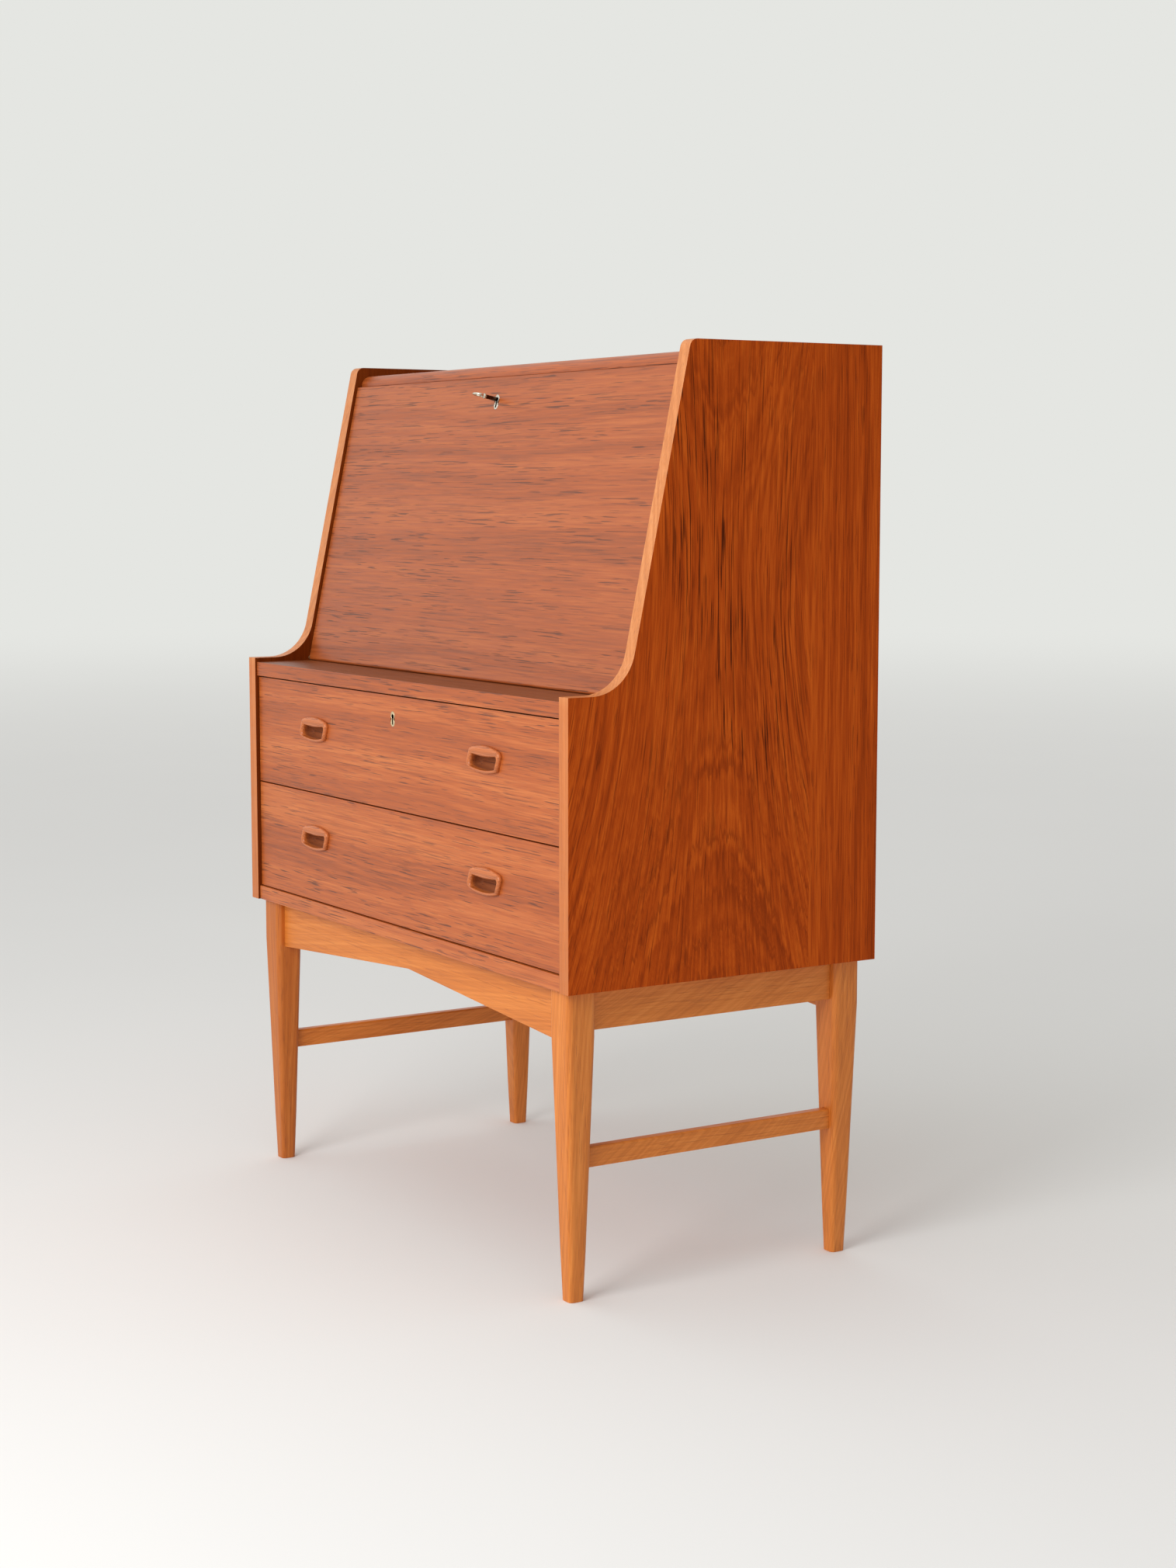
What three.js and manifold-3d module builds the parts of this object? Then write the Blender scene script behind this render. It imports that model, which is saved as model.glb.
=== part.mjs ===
// Secretary desk: a raked-front writing cabinet with two drawers, on a separate four-legged stand.
// Millimetres. +X to the right as seen from the front, the front faces -Y, +Z up, floor at z = 0.
import * as THREE from 'three';
import { mergeVertices } from 'three/addons/utils/BufferGeometryUtils.js';
import Module from 'manifold-3d';

const wasm = await Module();
wasm.setup();

// ---- driving sizes ----
const WIDTH = 810;
const DEPTH = 420;
const HEIGHT = 1060;
const PANEL_T = 19;
const BOARD_T = 18;
const CASE_BOTTOM = 353;
const LEDGE_EDGE_Z = 676;
const HALF_W = WIDTH / 2;
const INNER_X = HALF_W - PANEL_T;
const FRONT_Y = -DEPTH / 2;
const BACK_Y = DEPTH / 2;
const BOARD_FRONT_Y = FRONT_Y + 2.5;
const BOARD_BACK_Y = 204;

// raked front edge of the side panels: a straight line in the YZ plane
const RAKE_SLOPE = 0.2133;
const RAKE = Math.atan(RAKE_SLOPE);
const RAKE_Y0 = -126;
const RAKE_Z0 = 717;
const LEDGE_FILLET_R = 56;
const TOP_CORNER_R = 10;

// fixed boards
const DESK_TOP_Z = 670.5;
const DESK_BOTTOM_Z = DESK_TOP_Z - BOARD_T;
const TOP_SURFACE_Z = 1048.5;
const TOP_UNDER_Z = TOP_SURFACE_Z - BOARD_T;
const NOSE_Y = -47.8;
const NOSE_R = 13;
const REBATE_Z = 1034;
const TONGUE_L = 7;
const TONGUE_T = 8;
const HOUSING_BACK_Y = 190;

// thin plywood back, set into rebates in the two sides
const BACK_T = 4;
const BACK_REBATE = 8;
const BACK_Z0 = 357;
const BACK_Z1 = 1044;

// flap, drawn upright in its own frame: Y = depth behind its face, Z = distance up from the pivot
const FLAP_HALF_W = 385;
const FLAP_T = 18;
const FLAP_RECESS = 4.5;
const FLAP_TOP_Z = 1033.4;
const PIVOT_DEPTH = 3;
const PIVOT_Z = DESK_TOP_Z + PIVOT_DEPTH + 0.4;
const PIN_R = 1.8;
const PIN_BORE_R = 1.9;
const BUSH_R = 3.6;
const BUSH_L = 9;
const STOP_GAP = 0.4;

// interior fitting
const SHELF_T = 12;
const SHELF_Z = 868;
const DIVIDER_T = 10;
const DIVIDER_X = 128;
const INTERIOR_FRONT_Y = 24;
const DIVIDER_FRONT_Y = 30;
const LETTER_SHELF_Z = 764;
const LETTER_SHELF_T = 8;

// drawers
const DRAWER_FRONT_Y = FRONT_Y + 5;
const DRAWER_FRONT_T = 19;
const DRAWER_FRONT_HALF_W = 385;
const DRAWER_SIDE_T = 14;
const DRAWER_SIDE_OUT_X = 384;
const DRAWER_SIDE_IN_X = DRAWER_SIDE_OUT_X - DRAWER_SIDE_T;
const DRAWER_REAR_Y = 188;
const FRONT_HOUSING = 8;
const RUNNER_GROOVE = 8;
const RUNNER_FRONT_Y = -176;
const RUNNER_H = 16;
const BOTTOM_GROOVE = 5;
const BOTTOM_T = 4.5;
const DRAWERS = [
  { name: 'upper', z0: 512.8, z1: 650.8, box0: 522, box1: 632, groove: 575.5, pull: 593.5, lock: true },
  { name: 'lower', z0: 372.5, z1: 511, box0: 382, box1: 492, groove: 435.5, pull: 454, lock: false },
];

// drawer pulls: bowed oblong cups, let into the drawer fronts
const PULL_X = 218;
const PULL_PLUG = { a: 33, b: 12.6, bow: 2.5, corner: 6 };

// locks
const FLAP_LOCK_X = -3;
const FLAP_LOCK_Z = 336.2;
const FLAP_BOLT_Z = 345.9;
const DRAWER_LOCK_X = -6;
const DRAWER_LOCK_Z = 622.7;
const LOCK_HALF_W = 25;
const LOCK_DEPTH = 11;
const BOLT_HALF_W = 10;
const BOLT_T = 4.6;
const BOLT_L = 20;
const KEY_R = 2.5;
const KEY_BORE_R = 3.2;

// stand
const LEG_X = 369;
const LEG_Y = 182;
const LEG_TOP = { hx: 21, hy: 18, r: 7 };
const LEG_FOOT = { hx: 9.8, hy: 9.8, r: 5.5 };
const LEG_STRAIGHT_Z = 300;
const APRON_T = 20;
const APRON_RECESS = 10;
const TENON_L = 12;
const TENON_T = 8;
const SIDE_APRON_Z = 306;
const BOW_END_Z = 292;
const BOW_MID_Z = 317;
const STRETCHER_T = 14;
const STRETCHER_Z0 = 150.5;
const STRETCHER_Z1 = 173.5;
const BLOCK_Z = 325;

// ---- materials ----
const TEAK = new THREE.MeshStandardMaterial({ name: 'teak', color: 0xb9683a, roughness: 0.5 });
const OAK = new THREE.MeshStandardMaterial({ name: 'oak', color: 0xcf8f4f, roughness: 0.5 });
const INNER_WOOD = new THREE.MeshStandardMaterial({ name: 'inner_wood', color: 0xd9b98a, roughness: 0.6 });
const PLYWOOD = new THREE.MeshStandardMaterial({ name: 'plywood', color: 0xc9a673, roughness: 0.7 });
const BRASS = new THREE.MeshStandardMaterial({ name: 'brass', color: 0xb8a070, metalness: 1, roughness: 0.35 });
const STEEL = new THREE.MeshStandardMaterial({ name: 'steel', color: 0xb9b7b0, metalness: 1, roughness: 0.35 });

// ---- geometry helpers ----
function box(x0, x1, y0, y1, z0, z1) {
  const geometry = new THREE.BoxGeometry(x1 - x0, y1 - y0, z1 - z0);
  geometry.translate((x0 + x1) / 2, (y0 + y1) / 2, (z0 + z1) / 2);
  return geometry;
}

// a box given from the left edge or its mirror image, so pairs share one description
function sideBox(side, x0, x1, y0, y1, z0, z1) {
  if (side > 0) {
    return box(x0, x1, y0, y1, z0, z1);
  }
  return box(-x1, -x0, y0, y1, z0, z1);
}

// closed surface through a list of equal-length rings of points, capped at both ends
function loft(rings) {
  const count = rings[0].length;
  const positions = [];
  for (const ring of rings) {
    for (const point of ring) {
      positions.push(...point);
    }
  }
  const index = [];
  for (let r = 0; r + 1 < rings.length; r += 1) {
    for (let i = 0; i < count; i += 1) {
      const j = (i + 1) % count;
      const a = r * count + i;
      const b = r * count + j;
      index.push(a, b, b + count, a, b + count, a + count);
    }
  }
  for (const [start, isFirst] of [[0, true], [(rings.length - 1) * count, false]]) {
    const contour = capContour(rings[start / count]);
    const turn = Math.sign(THREE.ShapeUtils.area(contour));
    for (const face of THREE.ShapeUtils.triangulateShape(contour, [])) {
      const faceTurn = Math.sign(THREE.ShapeUtils.area(face.map((corner) => contour[corner])));
      const corners = face.map((corner) => start + corner);
      index.push(...((faceTurn === turn) === isFirst ? corners.reverse() : corners));
    }
  }
  const geometry = new THREE.BufferGeometry();
  geometry.setAttribute('position', new THREE.Float32BufferAttribute(positions, 3));
  geometry.setIndex(index);
  return outward(geometry);
}

// the ring seen along whichever axis it is flat in
function capContour(ring) {
  const spans = [0, 1, 2].map((k) => {
    const values = ring.map((point) => point[k]);
    return Math.max(...values) - Math.min(...values);
  });
  const flat = spans.indexOf(Math.min(...spans));
  const [u, v] = [[1, 2], [2, 0], [0, 1]][flat];
  return ring.map((point) => new THREE.Vector2(point[u], point[v]));
}

function signedVolume(geometry) {
  const position = geometry.attributes.position;
  const index = geometry.index;
  const corner = [0, 1, 2].map(() => new THREE.Vector3());
  let volume = 0;
  for (let i = 0; i < index.count; i += 3) {
    corner.forEach((vector, k) => vector.fromBufferAttribute(position, index.getX(i + k)));
    volume += corner[0].dot(corner[1].clone().cross(corner[2])) / 6;
  }
  return volume;
}

function outward(geometry) {
  if (signedVolume(geometry) < 0) {
    const index = geometry.index;
    for (let i = 0; i < index.count; i += 3) {
      const first = index.getX(i);
      index.setX(i, index.getX(i + 1));
      index.setX(i + 1, first);
    }
  }
  return geometry;
}

// prisms: an outline drawn in one plane, carried along the axis across it
function prismX(outline, x0, x1) {
  return loft([x0, x1].map((x) => outline.map(([y, z]) => [x, y, z])));
}

function prismY(outline, y0, y1) {
  return loft([y0, y1].map((y) => outline.map(([x, z]) => [x, y, z])));
}

function prismZ(outline, z0, z1) {
  return loft([z0, z1].map((z) => outline.map(([x, y]) => [x, y, z])));
}

function arc(cx, cy, radius, from, to, steps) {
  const points = [];
  for (let i = 0; i <= steps; i += 1) {
    const angle = from + ((to - from) * i) / steps;
    points.push([cx + radius * Math.cos(angle), cy + radius * Math.sin(angle)]);
  }
  return points;
}

function circle(cx, cy, radius, steps) {
  return arc(cx, cy, radius, 0, 2 * Math.PI, steps).slice(0, -1);
}

// upright slot shape: two half circles joined by straight sides
function stadium(cx, cz, halfWidth, halfHeight, steps) {
  const lift = halfHeight - halfWidth;
  return [
    ...arc(cx, cz + lift, halfWidth, 0, Math.PI, steps),
    ...arc(cx, cz - lift, halfWidth, Math.PI, 2 * Math.PI, steps),
  ];
}

// oblong with bowed long sides and rounded corners, in the XZ plane
function bowedOblong(cx, cz, { a, b, bow, corner }) {
  const half = [];
  const run = a - corner;
  for (const t of [-1, -0.6, -0.2, 0.2, 0.6]) {
    half.push([run * t, b - bow * t * t]);
  }
  half.push(...arc(run, b - bow - corner, corner, Math.PI / 2, 0, 4));
  const points = [...half, ...half.map(([x, z]) => [-x, -z])];
  return points.map(([x, z]) => [cx + x, cz + z]);
}

function roundedRect(cx, cy, hx, hy, r, steps) {
  const quarter = Math.PI / 2;
  return [
    ...arc(cx + hx - r, cy + hy - r, r, 0, quarter, steps),
    ...arc(cx - hx + r, cy + hy - r, r, quarter, 2 * quarter, steps),
    ...arc(cx - hx + r, cy - hy + r, r, 2 * quarter, 3 * quarter, steps),
    ...arc(cx + hx - r, cy - hy + r, r, 3 * quarter, 4 * quarter, steps),
  ];
}

// ---- solid operations ----
function solid(geometry) {
  const bare = geometry.clone();
  bare.deleteAttribute('normal');
  bare.deleteAttribute('uv');
  const merged = mergeVertices(bare, 1e-4);
  return new wasm.Manifold(new wasm.Mesh({
    numProp: 3,
    vertProperties: new Float32Array(merged.attributes.position.array),
    triVerts: new Uint32Array(merged.index.array),
  }));
}

function surface(manifold) {
  const mesh = manifold.getMesh();
  const geometry = new THREE.BufferGeometry();
  geometry.setAttribute('position', new THREE.Float32BufferAttribute(mesh.vertProperties, 3));
  geometry.setIndex(Array.from(mesh.triVerts));
  return geometry;
}

function cut(base, ...tools) {
  let result = solid(base);
  for (const tool of tools) {
    result = result.subtract(solid(tool));
  }
  return surface(result);
}

function join(base, ...others) {
  let result = solid(base);
  for (const other of others) {
    result = result.add(solid(other));
  }
  return surface(result);
}

const desk = new THREE.Group();
desk.name = 'secretary_desk';

function part(name, geometry, material) {
  const flat = geometry.index ? geometry.toNonIndexed() : geometry;
  flat.computeVertexNormals();
  const mesh = new THREE.Mesh(flat, material);
  mesh.name = name;
  desk.add(mesh);
}

// ---- the flap's frame ----
function rakeY(z, recess) {
  return RAKE_Y0 + recess + RAKE_SLOPE * (z - RAKE_Z0);
}

const PIVOT_Y = rakeY(PIVOT_Z, FLAP_RECESS) + PIVOT_DEPTH / Math.cos(RAKE);
const FLAP_ORIGIN_Y = PIVOT_Y - PIVOT_DEPTH * Math.cos(RAKE);
const FLAP_ORIGIN_Z = PIVOT_Z + PIVOT_DEPTH * Math.sin(RAKE);
const FLAP_LENGTH = (FLAP_TOP_Z - FLAP_ORIGIN_Z) / Math.cos(RAKE);

function ontoFlap(geometry) {
  geometry.rotateX(-RAKE);
  geometry.translate(0, FLAP_ORIGIN_Y, FLAP_ORIGIN_Z);
  return geometry;
}

function flapInnerY(z) {
  return rakeY(z, FLAP_RECESS) + FLAP_T / Math.cos(RAKE);
}

// ---- side panels ----
function sideOutline() {
  const filletZ = LEDGE_EDGE_Z + LEDGE_FILLET_R;
  const tangentZ = filletZ - LEDGE_FILLET_R * Math.sin(RAKE);
  const filletY = rakeY(tangentZ, 0) - LEDGE_FILLET_R * Math.cos(RAKE);
  const cornerZ = HEIGHT - TOP_CORNER_R;
  const cornerY = rakeY(cornerZ + TOP_CORNER_R * Math.sin(RAKE), 0) + TOP_CORNER_R * Math.cos(RAKE);
  return [
    [BACK_Y, CASE_BOTTOM],
    [BACK_Y, HEIGHT],
    ...arc(cornerY, cornerZ, TOP_CORNER_R, Math.PI / 2, Math.PI - RAKE, 6),
    ...arc(filletY, filletZ, LEDGE_FILLET_R, -RAKE, -Math.PI / 2, 16),
    [FRONT_Y, LEDGE_EDGE_Z],
    [FRONT_Y, CASE_BOTTOM],
  ];
}

function tongue(side, z0, frontY) {
  const middle = z0 + BOARD_T / 2;
  const z = [middle - TONGUE_T / 2, middle + TONGUE_T / 2];
  return sideBox(side, INNER_X - 1, INNER_X + TONGUE_L, frontY, HOUSING_BACK_Y, ...z);
}

const BOARD_TONGUES = [
  { z0: CASE_BOTTOM, front: -185 },
  { z0: DESK_BOTTOM_Z, front: -185 },
  { z0: TOP_UNDER_Z, front: -20 },
];

function shelfTongue(side) {
  return sideBox(side, INNER_X - 1, INNER_X + 4, 40, HOUSING_BACK_Y, SHELF_Z, SHELF_Z + SHELF_T);
}

function pivotHole(side) {
  const outline = circle(PIVOT_Y, PIVOT_Z, BUSH_R, 24);
  return side > 0 ? prismX(outline, INNER_X, INNER_X + BUSH_L) : prismX(outline, -INNER_X - BUSH_L, -INNER_X);
}

for (const [name, side] of [['left', -1], ['right', 1]]) {
  const x0 = side > 0 ? INNER_X : -HALF_W;
  const panel = prismX(sideOutline(), x0, x0 + PANEL_T);
  const rebate = sideBox(side, INNER_X - 1, INNER_X + BACK_REBATE, BOARD_BACK_Y, BACK_Y + 1, BACK_Z0, BACK_Z1);
  const housings = BOARD_TONGUES.map(({ z0, front }) => tongue(side, z0, front));
  part(`${name}_side_panel`, cut(panel, rebate, ...housings, shelfTongue(side), pivotHole(side)), TEAK);
}

// ---- boards between the sides ----
const FLAP_BOLT_Y = rakeY(REBATE_Z, FLAP_RECESS) + 12 / Math.cos(RAKE);
const DRAWER_BOLT_Y = DRAWER_FRONT_Y + 13;

function strikeRecess(x, y, z0, z1) {
  return box(x - 20, x + 20, y - 5, y + 5, z0, z1);
}

function boltSlot(x, y, z0, z1) {
  return box(x - 11.3, x + 11.3, y - 3.1, y + 3.1, z0, z1);
}

function topOutline() {
  return [
    [BOARD_BACK_Y, TOP_UNDER_Z],
    [BOARD_BACK_Y, TOP_SURFACE_Z],
    ...arc(NOSE_Y + NOSE_R, TOP_SURFACE_Z - NOSE_R, NOSE_R, Math.PI / 2, Math.PI, 8),
    [NOSE_Y, REBATE_Z],
    [flapInnerY(REBATE_Z) + STOP_GAP, REBATE_Z],
    [flapInnerY(TOP_UNDER_Z) + STOP_GAP, TOP_UNDER_Z],
  ];
}

const topBlank = join(
  prismX(topOutline(), -INNER_X, INNER_X),
  tongue(-1, TOP_UNDER_Z, -20),
  tongue(1, TOP_UNDER_Z, -20),
);
const topBoard = cut(
  topBlank,
  strikeRecess(FLAP_LOCK_X, FLAP_BOLT_Y, REBATE_Z - 1, REBATE_Z + 1.2),
  boltSlot(FLAP_LOCK_X, FLAP_BOLT_Y + 0.6, REBATE_Z, 1040.6),
);
part('top_board', topBoard, TEAK);

const deskBlank = join(
  box(-INNER_X, INNER_X, BOARD_FRONT_Y, BOARD_BACK_Y, DESK_BOTTOM_Z, DESK_TOP_Z),
  tongue(-1, DESK_BOTTOM_Z, -185),
  tongue(1, DESK_BOTTOM_Z, -185),
);
const deskBoard = cut(
  deskBlank,
  strikeRecess(DRAWER_LOCK_X, DRAWER_BOLT_Y, DESK_BOTTOM_Z - 1, DESK_BOTTOM_Z + 1.2),
  boltSlot(DRAWER_LOCK_X, DRAWER_BOLT_Y, DESK_BOTTOM_Z, DESK_BOTTOM_Z + 7),
);
part('desk_board', deskBoard, TEAK);

part('bottom_board', join(
  box(-INNER_X, INNER_X, BOARD_FRONT_Y, BOARD_BACK_Y, CASE_BOTTOM, CASE_BOTTOM + BOARD_T),
  tongue(-1, CASE_BOTTOM, -185),
  tongue(1, CASE_BOTTOM, -185),
), TEAK);

const BACK_HALF_W = INNER_X + BACK_REBATE;
part('back_panel', box(
  -BACK_HALF_W, BACK_HALF_W, BOARD_BACK_Y, BOARD_BACK_Y + BACK_T, BACK_Z0, BACK_Z1,
), PLYWOOD);

// rail behind the flap's top edge, which the closed flap leans on
const STOP_RAIL_Z = TOP_UNDER_Z - 16;
part('flap_stop_rail', prismX([
  [flapInnerY(TOP_UNDER_Z) + STOP_GAP, TOP_UNDER_Z],
  [flapInnerY(STOP_RAIL_Z) + STOP_GAP, STOP_RAIL_Z],
  [-16, STOP_RAIL_Z],
  [-16, TOP_UNDER_Z],
], -INNER_X, INNER_X), TEAK);

part('flap_strike_plate', cut(
  strikeRecess(FLAP_LOCK_X, FLAP_BOLT_Y, REBATE_Z, REBATE_Z + 1.2),
  boltSlot(FLAP_LOCK_X, FLAP_BOLT_Y + 0.3, REBATE_Z - 1, REBATE_Z + 2),
), BRASS);
part('drawer_strike_plate', cut(
  strikeRecess(DRAWER_LOCK_X, DRAWER_BOLT_Y, DESK_BOTTOM_Z, DESK_BOTTOM_Z + 1.2),
  boltSlot(DRAWER_LOCK_X, DRAWER_BOLT_Y, DESK_BOTTOM_Z - 1, DESK_BOTTOM_Z + 2),
), BRASS);

// ---- interior fitting ----
part('interior_shelf', join(
  box(-INNER_X, INNER_X, INTERIOR_FRONT_Y, BOARD_BACK_Y, SHELF_Z, SHELF_Z + SHELF_T),
  shelfTongue(-1),
  shelfTongue(1),
), TEAK);
for (const [name, side] of [['left', -1], ['right', 1]]) {
  const x0 = side * DIVIDER_X - DIVIDER_T / 2;
  const x1 = x0 + DIVIDER_T;
  part(`lower_divider_${name}`, box(x0, x1, DIVIDER_FRONT_Y, BOARD_BACK_Y, DESK_TOP_Z, SHELF_Z), TEAK);
  part(`upper_divider_${name}`, box(
    x0, x1, DIVIDER_FRONT_Y, BOARD_BACK_Y, SHELF_Z + SHELF_T, TOP_UNDER_Z,
  ), TEAK);
}
part('letter_shelf', box(
  DIVIDER_X + DIVIDER_T / 2, INNER_X, DIVIDER_FRONT_Y, BOARD_BACK_Y,
  LETTER_SHELF_Z, LETTER_SHELF_Z + LETTER_SHELF_T,
), TEAK);

// ---- locks ----
// Drawn upright around (x, z) with the outer face of the door or drawer front at y = 0.
function escutcheon(x, z) {
  return cut(
    prismY(stadium(x, z, 4.9, 9.3, 10), -0.2, 1.2),
    prismY(circle(x, z + 3, 2.8, 16), -1, 2),
    box(x - 1.2, x + 1.2, -1, 2, z - 6.8, z + 3),
  );
}

// everything cut out of the wood for one lock: escutcheon seat, keyhole, lock case pocket
function lockCuts(x, z, thickness, top) {
  const pocketY = thickness - LOCK_DEPTH - 0.2;
  return [
    prismY(stadium(x, z, 5, 9.4, 10), -1, 1.2),
    prismY(circle(x, z + 3, KEY_BORE_R, 16), 0, thickness),
    box(x - 1.6, x + 1.6, 0, thickness, z - 6.8, z + 3),
    box(x - LOCK_HALF_W - 0.2, x + LOCK_HALF_W + 0.2, pocketY, thickness + 1, z - 11.2, top + 1),
  ];
}

function lockCase(x, z, thickness, top, channelZ) {
  const y0 = thickness - LOCK_DEPTH;
  const channelY = y0 + 2.6;
  return cut(
    box(x - LOCK_HALF_W, x + LOCK_HALF_W, y0, thickness, z - 11, top - 0.1),
    prismY(circle(x, z + 3, KEY_BORE_R, 16), y0 - 1, y0 + 8.4),
    box(x - BOLT_HALF_W - 0.3, x + BOLT_HALF_W + 0.3, channelY, channelY + 5, channelZ, top + 1),
  );
}

function lockBolt(x, thickness, z0) {
  const y0 = thickness - LOCK_DEPTH + 2.8;
  return box(x - BOLT_HALF_W, x + BOLT_HALF_W, y0, y0 + BOLT_T, z0, z0 + BOLT_L);
}

// round stem, bead, short neck and a flat oval bow lying crosswise
function key(x, z) {
  const stem = loft([[11, KEY_R], [-17, KEY_R], [-17.4, 3.3], [-19, 3.3], [-19.4, 1.9], [-21.5, 1.9]]
    .map(([y, r]) => circle(x, z, r, 16).map(([cx, cz]) => [cx, y, cz])));
  const ring = new THREE.TorusGeometry(1, 0.19, 8, 24);
  ring.scale(7.6, 5.2, 6);
  ring.translate(x, -26.8, z);
  return join(stem, ring);
}

// ---- flap ----
function flapOutline() {
  const down = -Math.PI / 2 + RAKE;
  const nose = arc(PIVOT_DEPTH, 0, PIVOT_DEPTH, Math.PI, 2 * Math.PI + down, 8);
  const [lowY, lowZ] = nose[nose.length - 1];
  return [
    [0, FLAP_LENGTH],
    ...nose,
    [FLAP_T, lowZ + (FLAP_T - lowY) * Math.tan(RAKE)],
    [FLAP_T, FLAP_LENGTH],
  ];
}

const PIN_IN = 9;
const PIN_OUT = 7.5;

function pinSpan(side) {
  const span = [INNER_X - 1 - PIN_IN, INNER_X + PIN_OUT];
  return side > 0 ? span : [-span[1], -span[0]];
}

const flapPinCuts = [-1, 1].map((side) => prismX(circle(PIVOT_DEPTH, 0, PIN_R, 24), ...pinSpan(side)));
part('flap_panel', ontoFlap(cut(
  prismX(flapOutline(), -FLAP_HALF_W, FLAP_HALF_W),
  ...lockCuts(FLAP_LOCK_X, FLAP_LOCK_Z, FLAP_T, FLAP_LENGTH),
  ...flapPinCuts,
)), TEAK);
for (const [name, side] of [['left', -1], ['right', 1]]) {
  const pin = prismX(circle(PIVOT_DEPTH, 0, PIN_R, 24), ...pinSpan(side));
  part(`flap_pin_${name}`, ontoFlap(pin), BRASS);
  const bush = cut(pivotHole(side), side > 0
    ? prismX(circle(PIVOT_Y, PIVOT_Z, PIN_BORE_R, 24), INNER_X - 1, INNER_X + BUSH_L + 1)
    : prismX(circle(PIVOT_Y, PIVOT_Z, PIN_BORE_R, 24), -INNER_X - BUSH_L - 1, -INNER_X + 1));
  part(`flap_bush_${name}`, bush, BRASS);
}
part('flap_escutcheon', ontoFlap(escutcheon(FLAP_LOCK_X, FLAP_LOCK_Z)), BRASS);
part('flap_lock_case', ontoFlap(
  lockCase(FLAP_LOCK_X, FLAP_LOCK_Z, FLAP_T, FLAP_LENGTH, FLAP_BOLT_Z - 1.5),
), STEEL);
part('flap_lock_bolt', ontoFlap(lockBolt(FLAP_LOCK_X, FLAP_T, FLAP_BOLT_Z)), BRASS);
part('flap_key', ontoFlap(key(FLAP_LOCK_X, FLAP_LOCK_Z + 3)), STEEL);

// ---- drawers ----
// ring: [y, half width, half height, shift in z, bow, corner radius, sag of the opening at mid width]
function pull(side, z) {
  const x = side * PULL_X;
  const rings = [
    [-190, 33, 12.6, 0, 2.5, 6, 0],
    [-205, 33, 12.6, 0, 2.5, 6, 0],
    [-205, 37.5, 16, 0, 4, 7, 0],
    [-208.4, 37, 15.6, 0, 4, 6.8, 0],
    [-209.7, 35.8, 14.5, 0, 3.8, 6.2, 0],
    [-210, 34, 12.4, -0.3, 3.2, 5.6, 0.6],
    [-209.3, 31.6, 8.7, -1.2, 1, 4.6, 2.2],
    [-207, 30.2, 7.7, -1.5, 0.5, 4.2, 2.9],
    [-195.5, 30.2, 7.7, -1.5, 0.5, 4.2, 2.9],
    [-192.8, 27, 5, -1.5, 0.4, 3, 2.9],
  ];
  return loft(rings.map(([y, a, b, dz, bow, corner, sag]) => (
    bowedOblong(x, z + dz, { a, b, bow, corner }).map(([px, pz]) => {
      const t = (px - x) / a;
      return [px, y, pz - sag * (1 - t * t)];
    }))));
}

function pullHole(side, z) {
  const size = { ...PULL_PLUG, a: PULL_PLUG.a + 0.3, b: PULL_PLUG.b + 0.3 };
  return prismY(bowedOblong(side * PULL_X, z, size), DRAWER_FRONT_Y - 1, -189.7);
}

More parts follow.
